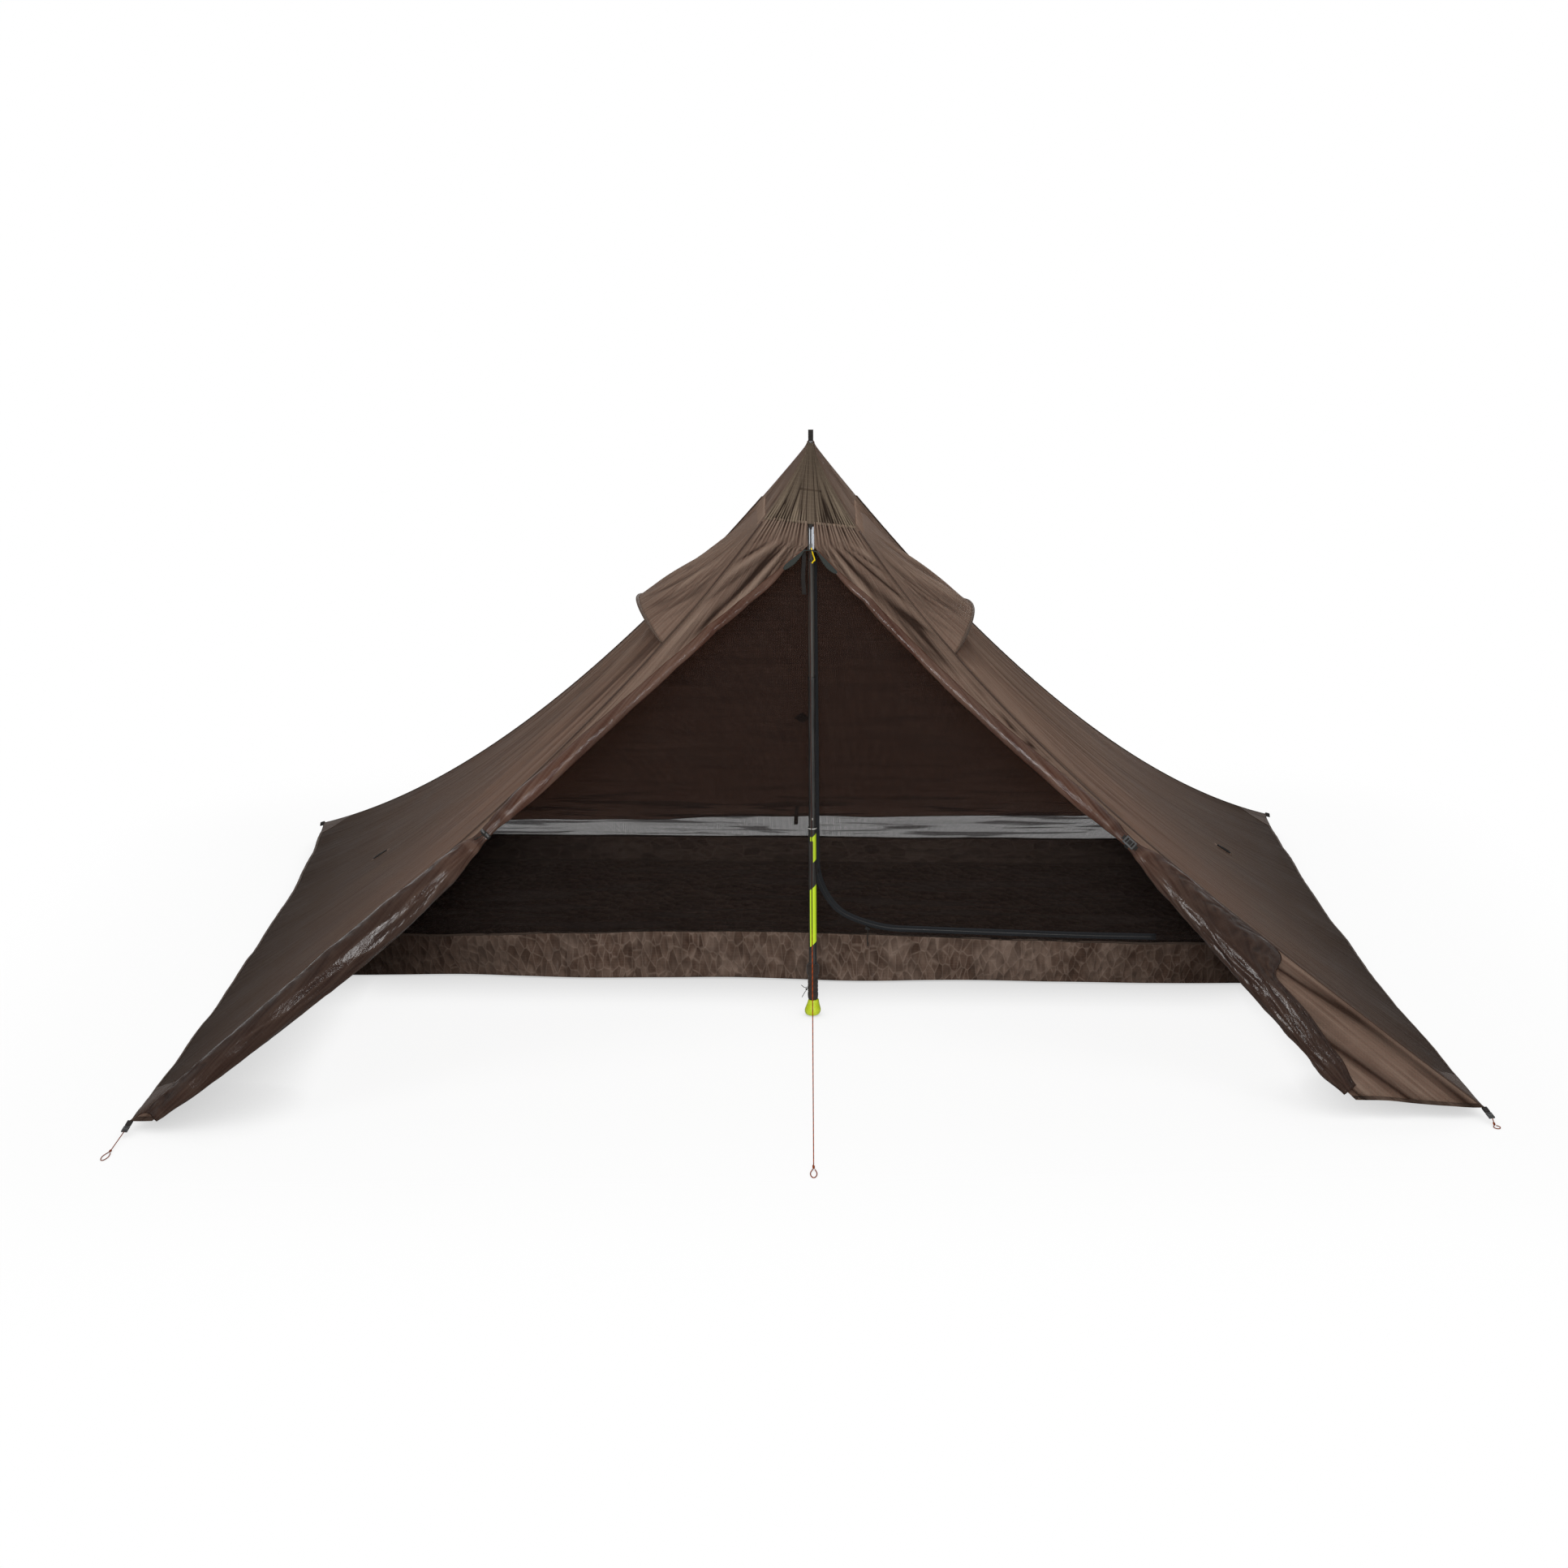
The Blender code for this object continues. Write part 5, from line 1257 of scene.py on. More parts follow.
zipper = {"sliderLength": 0.0120, "sliderWidth": 0.0080, "sliderHeight": 0.0060,
          "pullRadius": 0.0014, "patchWidth": 0.0240, "patchHeight": 0.0130, "strapLength": 0.100,
          "strapWidth": 0.0090, "strapOffset": 0.0155, "webbing": 0.0012, "facing": 0.0170,
          "facingTop": 0.1025, "facingDown": 0.024}


def zipLine():
    top = flyPoint("front", fly["crownEnd"] + fly["gap"] / fly["apexHeight"] * 2, 0.5)
    foot = flyPoint("front", fly["zipFoot"], 0.5)
    run = (foot - top).normalized()
    out = Vector((1, 0, 0)).cross(run).normalized()
    return top, foot, run, out if out.y < 0 else -out


zipTop, zipFoot, zipRun, zipOut = zipLine()
sideWay = Vector((1, 0, 0))


# A slider: two plates with a waist between them, and a bridge over its top
def buildSlider(name, seat, wide, long, out):
    bm = bmesh.new()
    half = zipper["sliderLength"] / 2
    outline = [(-0.42, -1.0), (0.42, -1.0), (0.70, -0.55), (0.78, 0.20), (0.98, 0.62), (0.90, 1.0),
               (0.30, 1.0), (0.0, 0.72), (-0.30, 1.0), (-0.90, 1.0), (-0.98, 0.62), (-0.78, 0.20),
               (-0.70, -0.55)]
    for low in (0.0004, 0.0024):
        points = [bm.verts.new(seat + wide * (zipper["sliderWidth"] / 2 * x) - long * (half * y) + out * low)
                  for x, y in outline]
        plate = bm.faces.new(points)
        grown = bmesh.ops.extrude_face_region(bm, geom=[plate])["geom"]
        grown = [part for part in grown if isinstance(part, bmesh.types.BMVert)]
        bmesh.ops.translate(bm, verts=grown, vec=out * 0.0010)
    line = []
    for k in range(13):
        angle = pi * k / 12
        line.append(seat + out * (0.0032 + 0.0024 * sin(angle)) + long * (half * 0.62 * cos(angle)))
    hoop = bmesh.new()
    hoop.loops.layers.uv.new("cloth")
    hoop.loops.layers.uv.new("pull")
    tubeInto(hoop, line, 0.0008, 8, 0.8, wide)
    bmesh.ops.remove_doubles(hoop, verts=hoop.verts, dist=0.00001)
    bmesh.ops.holes_fill(hoop, edges=[edge for edge in hoop.edges if edge.is_boundary])
    bridge = bpy.data.meshes.new("bridge")
    hoop.to_mesh(bridge)
    hoop.free()
    bm.from_mesh(bridge)
    bpy.data.meshes.remove(bridge)
    bmesh.ops.recalc_face_normals(bm, faces=bm.faces)
    return finishMesh(name, bm, blackPlastic, 40)


def buildFlyZip():
    tapes = startCloth()
    length = (zipFoot - zipTop).length
    for side in (left, right):
        def place(across, along):
            width = zipTape["halfWidth"] + zipTape["lap"] - zipTape["start"]
            x = side * (zipTape["start"] + width * across)
            ripple = 0.0003 * bumps(x * 900, along * 9, 3.0)
            return zipTop.lerp(zipFoot, along) + sideWay * x + zipOut * ripple

        clothGrid(tapes, 6, 26, place, flatMaps(0.0065, length))
    for face in tapes.faces:
        face.material_index = 1 if abs(face.calc_center_median().x) > 0.0052 else 0
    tapePiece = finishCloth("flyZipTape", tapes, zipWeave, zipTape["thickness"])
    tapePiece.data.materials.append(blackTape)
    sewnOn(tapePiece, "fly_zip_tape")
    # The coil: two rows of bent filament that mesh, 1.3 mm apart
    line = []
    for k in range(int(length / zipTape["pitch"]) * 6):
        angle = 2 * pi * k / 6
        spot = zipTop + zipRun * (zipTape["pitch"] * k / 6) + sideWay * (0.0013 * cos(angle))
        line.append(spot + zipOut * (0.0007 + 0.0006 * sin(angle)))
    sewnOn(tubePiece("flyZipCoil", blackPlastic, line, 0.00032, 5))
    seat = zipFoot - zipRun * (zipper["sliderLength"] / 2) + zipOut * (fly["cloth"] / 2 + 0.0003)
    slider = buildSlider("flyZipSlider", seat, sideWay, zipRun, zipOut)
    fitted(slider, "zip_slider", "fly_zip_slider")
    # Yellow cord pull: bent aside near its end, where it is knotted and melted to a stub
    eye = zipFoot - zipRun * (zipper["sliderLength"] * 0.15) + sideWay * (zipper["sliderWidth"] * 0.20)
    eye += zipOut * (fly["cloth"] / 2 + 0.0006 + zipper["sliderHeight"] + zipper["pullRadius"])
    route = [eye + Vector((-0.0005, 0.0012, 0.0006)), eye + Vector((0.0006, 0, -0.004)),
             eye + Vector((0.0030, 0, -0.0125)), eye + Vector((0.0058, 0, -0.0215)),
             eye + Vector((0.0068, 0, -0.0250)), eye + Vector((0.0052, 0, -0.0275)),
             eye + Vector((0.0022, 0, -0.0305)), eye + Vector((0.0010, 0, -0.0330))]

    def pullAt(k):
        return zipper["pullRadius"] * (1 + 0.55 * max(0, 1 - abs(k - 25) / 4.5) + 0.25 * (k > 37))

    pull = tubePiece("flyZipPull", yellowBraid, smoothRoute(route, 40), pullAt, 12)
    fitted(pull, "zip_pull", "fly_zip_pull")
    # Dark patch at the head of the zip, sewn under the foot of the crown
    patchFoot = zipTop + zipRun * (zipper["patchHeight"] / 2 - 0.0060) + zipOut * (fly["cloth"] + 0.0002)

    def headPatch(across, along):
        wide = 1.0 - 0.62 * along ** 0.8
        spot = patchFoot + zipRun * (zipper["patchHeight"] * 0.85 * (along - 0.5))
        return spot + sideWay * (zipper["patchWidth"] * 0.42 * wide * (across - 0.5))

    patchPiece = clothPiece("zipHeadPatch", 10, 8, headPatch, (0.02, 0.013), blackTape, fullCloth)
    fitted(patchPiece, "zip_head", "fly_zip_top_patch")
    # Grey facings that the open zip turns out on both sides of its foot
    for side, word in bothSides:
        def facing(across, along):
            down = zipper["facingTop"] + zipper["facingDown"] * along
            share = 0.5 + side * 0.001 if along == 0 else readTable(doorLines[side], down, False)
            edge = flyPoint("front", down, share)
            fall = zipper["facing"] * sin(pi * min(1.0, 0.06 + along * 0.90)) ** 0.6 * (0.35 + 0.65 * along)
            way = Vector((-side * 0.55, -0.12, -0.82)).normalized()
            return edge + frontOut(down) * (0.0088 + 0.001 * across) + way * (fall * (across - 0.25))

        sewnOn(clothPiece(f"{word}ZipFacing", 8, 30, facing, (0.011, 0.07), facingTape, fullCloth))


# A strap that hangs straight down beside the zip from behind the cloth
def buildHangingStrap():
    across = 0.5 - zipper["strapOffset"] / panelWidth("front", fly["zipFoot"])
    back = frontOut(fly["zipFoot"]) * -(fly["cloth"] / 2 + zipper["webbing"] / 2 + fly["gap"])
    route = [flyPoint("front", down, across) + back
             for down in (fly["crownEnd"] + 0.008, 0.092, fly["zipFoot"])]
    start = route[-1] + Vector((0, 0.0003, 0))
    for k in range(1, 7):
        sway = 0.0012 * sin(k * 1.3)
        route.append(start + Vector((sway, sway * 0.6, -zipper["strapLength"] * k / 6)))
    line = smoothRoute(route, 49)

    def place(across, along):
        spot = line[int(along * 48 + 0.5)]
        return spot + Vector((zipper["strapWidth"] * (across - 0.5), 0.0005 * sin(pi * across), 0))

    piece = clothPiece("crownHangingStrap", 6, 48, place, (0.009, 0.14), blackTape, zipper["webbing"])
    fitted(piece, "zip_head", "crown_hanging_strap")


# Webbing folded back on itself, its two plies open at the end that is sewn
def foldedTab(name, base, direction, wideWay, length, width):
    direction = direction.normalized()
    wideWay = (wideWay - direction * wideWay.dot(direction)).normalized()
    face = direction.cross(wideWay)
    bend = 0.12

    def place(across, along):
        turn = abs(along - 0.5) * 2
        if turn > bend:
            reach = length * (1 - turn)
        else:
            reach = length * (1 - bend) + length * bend * cos(turn / bend * pi / 2)
        apart = (0.0011 if along < 0.5 else -0.0011) * smooth(turn / 0.14) * (1 + 0.35 * sin(pi * turn))
        return base + direction * (reach - 0.0005) + face * apart + wideWay * (width * (across - 0.5))

    return clothPiece(name, 6, 36, place, (width, length * 2), blackTape, zipper["webbing"] * 0.8)


# Cords that end in a tied loop on the ground
cords = {"guyDiameter": 0.0022, "guyReach": 0.861, "guyAside": 0.012, "cornerDiameter": 0.0020,
         "loopLength": 0.040, "loopHalfWidth": 0.0065, "knotSwell": 1.5, "tabLength": 0.018,
         "tabWidth": 0.0110, "tensioner": (0.0180, 0.0130, 0.0030), "pegReach": {left: 0.145, right: 0.062},
         "pegSide": {left: 0.018, right: 0.012}}


def tiedLoop(start, end, diameter, runPoints):
    flat = Vector(((end - start).x, (end - start).y, 0.0)).normalized()
    side = Vector((-flat.y, flat.x, 0.0))
    reach = min(cords["loopLength"], (end - start).length * 0.60)
    knot = end - flat * reach
    level = diameter / 2
    knot.z = max(knot.z, level * cords["knotSwell"])
    straight = [start.lerp(knot, k / runPoints) for k in range(runPoints + 1)]
    loop = []
    for across, along in ((-0.75, 0.30), (-1.0, 0.60), (-0.62, 0.90), (0.0, 1.0), (0.62, 0.90), (1.0, 0.60),
                          (0.75, 0.30), (0.42, 0.12)):
        point = knot + flat * (reach * along) + side * (cords["loopHalfWidth"] * across)
        loop.append(Vector((point.x, point.y, level)))
    return straight[:-1] + smoothRoute([knot] + loop, 18)


# Three turns of the cord round itself, which is how its loop is tied
def cordKnot(name, middle, along, diameter, material):
    along = along.normalized()
    side = along.orthogonal().normalized()
    up = along.cross(side)
    line = []
    for k in range(37):
        angle = 2 * pi * k / 12
        spot = middle + along * (diameter * (k / 12 - 1.5) * 0.95) + side * (diameter * 0.80 * cos(angle))
        line.append(spot + up * (diameter * 0.80 * sin(angle)))
    for point in line:
        point.z = max(point.z, diameter * 0.5)
    return sewnOn(tubePiece(name, material, line, diameter * 0.46, 8))


def buildCord(name, start, end, diameter, runPoints, material, node):
    points = tiedLoop(start, end, diameter, runPoints)
    piece = sewnOn(tubePiece(name, material, points, diameter / 2), node)
    run = (points[runPoints] - points[runPoints - 1]).normalized()
    knot = cordKnot(name + "Knot", points[runPoints] - run * diameter * 1.2, run, diameter, material)
    tuple(points[0])
    lineLength(points)
    [tuple(p) for p in points]


def buildCords():
    level = cords["guyDiameter"] / 2
    start = zipFoot + zipRun * 0.0006 + Vector((-zipper["sliderWidth"] / 4, 0, 0))
    end = Vector((start.x - cords["guyAside"], -cords["guyReach"], level))
    buildCord("frontGuyCord", start, end, cords["guyDiameter"], 24, guyBraid, "front_guy_cord")
    # The knot that ties the guy cord on below the zip, and its short tail
    knotAt = start.lerp(end, 0.018)
    cordKnot("guyTopKnot", knotAt, end - start, cords["guyDiameter"], darkBraid)
    falls = (0, 0, 0), (-0.002, -0.003, -0.006), (-0.001, -0.004, -0.016), (-0.004, -0.004, -0.026)
    tail = smoothRoute([knotAt + Vector(fall) for fall in falls], 16)
    sewnOn(tubePiece("guyTopTail", darkBraid, tail, 0.0007, 7))
    for side, word in bothSides:
        tip = corner(side, True)
        reach, aside = cords["pegReach"][side], cords["pegSide"][side]
        length, width, thick = cords["tensioner"]
        peg = tip + Vector((side * aside, -reach, 0.0))
        peg.z = cords["cornerDiameter"] / 2
        fall = tip.z - thick / 2 - cords["cornerDiameter"]
        direction = Vector((side * aside, -reach, 0.0)).normalized() * length * 2
        direction.z = -fall / 2
        way = direction.normalized()
        across = Vector((1, 0, 0)) - way * way.x
        base = tip - way * 0.0003
        tab = foldedTab(f"front{word.capitalize()}Tab", base, direction, across, cords["tabLength"],
                        cords["tabWidth"])
        sewnOn(tab, f"front_{word}_corner_tab")
        middle = base + way * (cords["tabLength"] + 0.0003 + length / 2)
        sewnOn(flatBuckle(f"front{word.capitalize()}Tensioner", middle, direction, across, length, width,
                          thick), f"front_{word}_tensioner")
        start = middle + way * (length / 2 + 0.0003 + cords["cornerDiameter"] * 0.3)
        buildCord(f"front{word.capitalize()}Cord", start, peg, cords["cornerDiameter"], 6, rustBraid,
                  f"front_{word}_corner_cord")
        direction = corner(side, False) - Vector((0, fly["frontReach"], fly["apexHeight"] / 2))
        tab = foldedTab(f"back{word.capitalize()}Tab", corner(side, False), direction, Vector((1, side, 0)),
                        cords["tabLength"], cords["tabWidth"])
        sewnOn(tab, f"back_{word}_corner_tab")


# Patches where the corners are pulled: a second layer of cloth with curved edges
patch = {"frontReach": 0.13, "backReach": 0.15, "loopHalf": 0.028, "lift": 0.0009}


def buildCornerPatches():
    bm = startCloth()
    for side, panel in bothSides:
        for front, reach in ((True, patch["frontReach"]), (False, patch["backReach"])):
            hipShare = hipAcross(side, front)
            width = panelWidth(panel, 1.0)

            def place(across, along):
                rise = reach * (1 - along) * 0.9
                wide = reach * along ** 0.8 * across
                share = hipShare + (1 if hipShare == 0 else -1) * (0.004 + wide) / width
                return flySkin(panel, 0.9985 - rise / clothDown * (1 - 0.25 * across), share, patch["lift"])

            clothGrid(bm, 14, 18, place, flatMaps(reach, reach))
    # The patches take the dark seam cloth, which paints the shade that lies on the low corners
    sewnOn(finishCloth("cornerPatches", bm, seamNylon, thinCloth))


# Guy-out loops on both sides: thin dark webbing that lies on the cloth over its patch
loop = {"down": 0.778, "across": 0.566, "length": 0.046, "halfWidth": 0.0095, "radius": 0.0019}


def buildSideLoops():
    for panel in ("left", "right"):
        acrossShare = fromFront(panel, loop["across"])
        slope = (flyPoint(panel, loop["down"] + 0.01, acrossShare)
                 - flyPoint(panel, loop["down"] - 0.01, acrossShare)).length / 0.02
        width = panelWidth(panel, loop["down"])
        points = []
        for k in range(48):
            angle = 2 * pi * k / 48
            pinch = 0.35 + 0.65 * (0.5 - 0.5 * cos(angle))
            down = loop["down"] - loop["length"] / 2 * cos(angle) / slope
            across = acrossShare + loop["halfWidth"] * pinch * sin(angle) / width
            points.append(flySkin(panel, down, across, loop["radius"] + 0.0010))
        band = tubePiece(f"{panel}SideLoop", blackTape, points, loop["radius"], 10, 0.7, closed=True)
        sewnOn(band, f"{panel}_side_loop")

        def place(across, along):
            wide = patch["loopHalf"] * 1.2 * (1 - 0.35 * (2 * along - 1) ** 2)
            down = loop["down"] + patch["loopHalf"] * 2.2 * (along - 0.5) / slope
            return flySkin(panel, down, acrossShare + wide * (across - 0.5) / width, patch["lift"])

        sewnOn(clothPiece(f"{panel}LoopPatch", 10, 16, place, (0.034, 0.06), flyNylon, thinCloth))


# Back wall: a square patch inside its middle, and a strap down the middle of its hem
backWall = {"patchDown": 0.514, "patchHalf": 0.021, "strapStart": 0.900, "overhang": 0.028,
            "strapWidth": 0.012}


def buildBackWall():
    halfDown = backWall["patchHalf"] / fly["apexHeight"]
    halfAcross = backWall["patchHalf"] / panelWidth("back", backWall["patchDown"])

    def spot(across, along):
        down = backWall["patchDown"] + halfDown * (across + along - 1)
        share = 0.5 + halfAcross * (across - along)
        return flySkin("back", down, share, -0.0013)

    sewnOn(clothPiece("backWallPatch", 12, 12, spot, (0.04, 0.04), blackTape, fullCloth), "back_wall_patch")
    half = backWall["strapWidth"] / 2 / panelWidth("back", 1.0)
    shares = [backWall["strapStart"] + (1 - backWall["strapStart"]) * k / 10 for k in range(11)]
    rows = [[flySkin("back", down, 0.5 + half * x, -0.0019) for x in (-1, 1)] for down in shares]
    drop = (rows[-1][0] - rows[-2][0]).normalized()
    last = rows[-1]
    for k in range(1, 7):
        reach = backWall["overhang"] * k / 6
        rows.append([point + drop * reach + Vector((0, 0, -reach * 0.6)) for point in last])

    def strap(across, along):
        row = rows[int(along * 16 + 0.5)]
        return row[0].lerp(row[1], across)

    sewnOn(clothPiece("backHemStrap", 4, 16, strap, (0.012, 0.17), blackTape, 0.0012), "back_hem_strap")


facingTape = wovenTape("greyFacing", ("#1d201e", "#2a2e2b"), 0.0015, 0.6)
guyBraid = braidedCord("guyBraid", ("#6a2a08", "#a04410"), 0.36)
buildFlyZip()
buildHangingStrap()
tabFoot = Vector((0, 0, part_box("crown_pull_tab")[0][2]))
sewnOn(foldedTab("crownTab", tabFoot, upward, sideWay, 0.0240, 0.0110), "crown_pull_tab")
buildCords()
buildCornerPatches()
buildSideLoops()
buildBackWall()
print("stage: zip, cords, tabs and straps made")


# Inner: a tub floor with raised sides, four net walls, a curved zip and the strap that hangs it up

inner = {"length": 2.250, "depth": 0.960, "turn": radians(-3.3), "frontOffset": 0.212, "frontWall": 0.108,
         "backWall": 0.072, "flare": 0.010, "crownBack": 0.030, "crownDrop": 0.090, "hipSag": 0.090,
         "start": 0.040, "zipOffset": 0.012, "arcRadius": 0.200, "floorRise": 0.016, "zipRun": 0.610,
         "zipTopDrop": 0.250, "bandWidth": 0.0170, "sliderAngle": radians(23.0), "strapWidth": 0.010,
         "crinkle": 0.0060, "netSlack": 0.010, "hump": 0.021, "spread": 0.014,
         "lift": 0.0007, "wave": 0.0035, "girth": 6.4}
tubColumns = (420, 72, 150, 72)


def tubPoint(x, y, height):
    middle = Vector((fly["shift"], inner["frontOffset"] + inner["depth"] / 2, 0.0))
    point = middle + Matrix.Rotation(inner["turn"], 3, "Z") @ Vector((x, y, 0.0))
    point.z = height
    return point


# Round the tub from its front left corner: place on the unit rectangle, and the way out from it
def tubEdge(around):
    spot = around * sum(tubColumns) % sum(tubColumns)
    for side, count in enumerate(tubColumns):
        if spot < count:
            break
        spot -= count
    f = spot / count
    return [(-1 + 2 * f, -1), (1, -1 + 2 * f), (1 - 2 * f, 1), (-1, 1 - 2 * f)][side], side, f


# The net pulls the middle of the front wall up, left of the zip
def hump(x):
    return inner["hump"] * smooth(1 - abs(x + 0.10) / 0.85)


# Straight creases between flat facets: how far a spot is from the nearest crease
def crushed(x, y, z):
    reach = noise.voronoi(Vector((x, y, z)))[0]
    return min(0.5, reach[1] - reach[0]) - 0.25


def buildTub():
    floorShare = 0.36

    def place(around, along):
        (x, y), side, f = tubEdge(around)
        halfLength, halfDepth = inner["length"] / 2, inner["depth"] / 2
        if along < floorShare:
            grow = along / floorShare
            wave = inner["wave"] * (0.5 + bumps(x * grow * 5, y * grow * 3, 8.0)) * (1 - grow ** 6)
            spread = inner["spread"] * bumps(x * 3.4, 3.0, 9.0) * (side == 0) * grow ** 4
            return tubPoint(x * grow * (halfLength - inner["flare"]),
                            y * grow * (halfDepth - inner["flare"] + spread), inner["lift"] + max(0.0, wave))
        rise = (along - floorShare) / (1 - floorShare)
        frontShare = (1 - y) / 2
        height = inner["backWall"] + (inner["frontWall"] - inner["backWall"]) * frontShare
        calm = smooth(min(f, 1 - f) * (2.2 if side % 2 == 0 else 0.9) / 0.04)
        run = around * inner["girth"]
        wide = crushed(run * 12 + rise * 1.1, rise * 1.5, 2.0)
        fine = crushed(run * 27 - rise * 1.4, rise * 3.4, 6.0)
        crease = 0.8 * bumps(run * 7, rise * 1.6, 2.0) + 1.5 * wide + 0.9 * fine
        bulge = inner["crinkle"] * crease * smooth(rise * 3) * (1 - 0.55 * rise) * calm
        # Painted shade in the creases between the facets, painted highlight on the facets between them
        mark = -1.5 * (wide + 0.8 * fine) * calm
        spread = inner["spread"] * bumps(x * 3.4, 3.0, 9.0) * (side == 0) * (1 - rise) ** 2 * calm
        inset = inner["flare"] * (1 - rise) + bulge - spread
        wave = (inner["wave"] * bumps(run * 5, 0.0, 4.0) + hump(x) * (side == 0)) * rise * calm
        level = inner["lift"] + (height - inner["lift"]) * rise + wave
        point = tubPoint(x * (halfLength - inset), y * (halfDepth - inset), level)
        return point, max(-1.0, min(1.0, mark))

    def maps(around, along):
        (x, y), side, f = tubEdge(around)
        if along < floorShare:
            grow = along / floorShare
            spot = (x * grow * 1.12, y * grow * 0.48)
        else:
            spot = (around * inner["girth"], 2.0 + (along - floorShare) * 0.16)
        return spot, spot

    bm = startCloth()
    clothGrid(bm, sum(tubColumns), 34, place, maps)
    tub = sewnOn(finishCloth("tubFloor", bm, tubNylon, fullCloth), "inner_tub_floor")
    # Narrow binding where the nets are sewn to the top of the tub
    count = sum(tubColumns)
    points = [place(k / count, 1.0)[0] + Vector((0, 0, 0.0012)) for k in range(count)]
    binding = sewnOn(tubePiece("tubBinding", bindingTape, points, 0.0030, 8, 0.35, upward, closed=True))


innerCrown = Vector((0.0, inner["crownBack"], fly["apexHeight"] - inner["crownDrop"]))


def tubCorner(side, front):
    height = (inner["frontWall"] if front else inner["backWall"]) + fly["gap"] + 0.000175
    halfDepth = inner["depth"] / 2 - 0.0005
    return tubPoint(side * (inner["length"] / 2 - 0.0005), -halfDepth if front else halfDepth, height)


def frontPlane():
    origin = tubCorner(left, True)
    along = (tubCorner(right, True) - origin).normalized()
    normal = along.cross(innerCrown - origin).normalized()
    return origin, along, normal if normal.y < 0 else -normal


planeOrigin, planeAlong, planeNormal = frontPlane()
planeUp = planeAlong.cross(planeNormal)
planeUp = planeUp if planeUp.z > 0 else -planeUp


def ontoFrontPlane(point):
    n = planeNormal
    y = planeOrigin.y - (n.x * (point.x - planeOrigin.x) + n.z * (point.z - planeOrigin.z)) / n.y
    return Vector((point.x, y, point.z))


def innerHip(side, front, down):
    point = innerCrown.lerp(tubCorner(side, front), down)
    point.z -= inner["hipSag"] * 4 * down * (1 - down)
    return ontoFrontPlane(point) if front else point


def buildNets():
    walls = {"front": ((left, True), (right, True), 80), "right": ((right, True), (right, False), 44),
             "back": ((right, False), (left, False), 80), "left": ((left, False), (left, True), 44)}
    for word, (first, second, columns) in walls.items():
        seed = folds["seeds"][word]

        def place(across, along):
            down = inner["start"] + (1 - inner["start"]) * along
            start, end = innerHip(*first, down), innerHip(*second, down)
            width = (end - start).length
            point = start.lerp(end, across)
            calm = smooth(min(across, 1 - across) * width / 0.12) * smooth((1 - along) / 0.05)
            middle = Vector((innerCrown.x, 0.6, 0.3))
            way = (middle - point).normalized()
            slack = inner["netSlack"] * (bumps(across * width * 3.2, along * 2.5, seed)
                                         + 0.5 * bumps(across * width * 9, along * 4, seed + 3))
            if word == "front":
                point += planeUp * (hump(2 * across - 1) * along ** 8)
                slack *= 0.25
            return point + way * (slack * calm)

        def maps(across, along):
            width = (innerHip(*second, along) - innerHip(*first, along)).length
            spot = ((across - 0.5) * width, along * 1.5)
            return spot, spot

        bm = startCloth()
        clothGrid(bm, columns, 70, place, maps)
        net = sewnOn(finishCloth(f"{word}Net", bm, blackNet, thinCloth), f"inner_{word}_net")
    # Seams where the nets meet, bound with dark tape
    bm = startCloth()
    for side, front in fourHips:
        points = [innerHip(side, front, inner["start"] + (1 - inner["start"]) * k / 60) for k in range(61)]
        tubeInto(bm, points, 0.0026, 8, 0.4, sideWay)
    sewnOn(finishTube("innerSeams", bm, bindingTape))


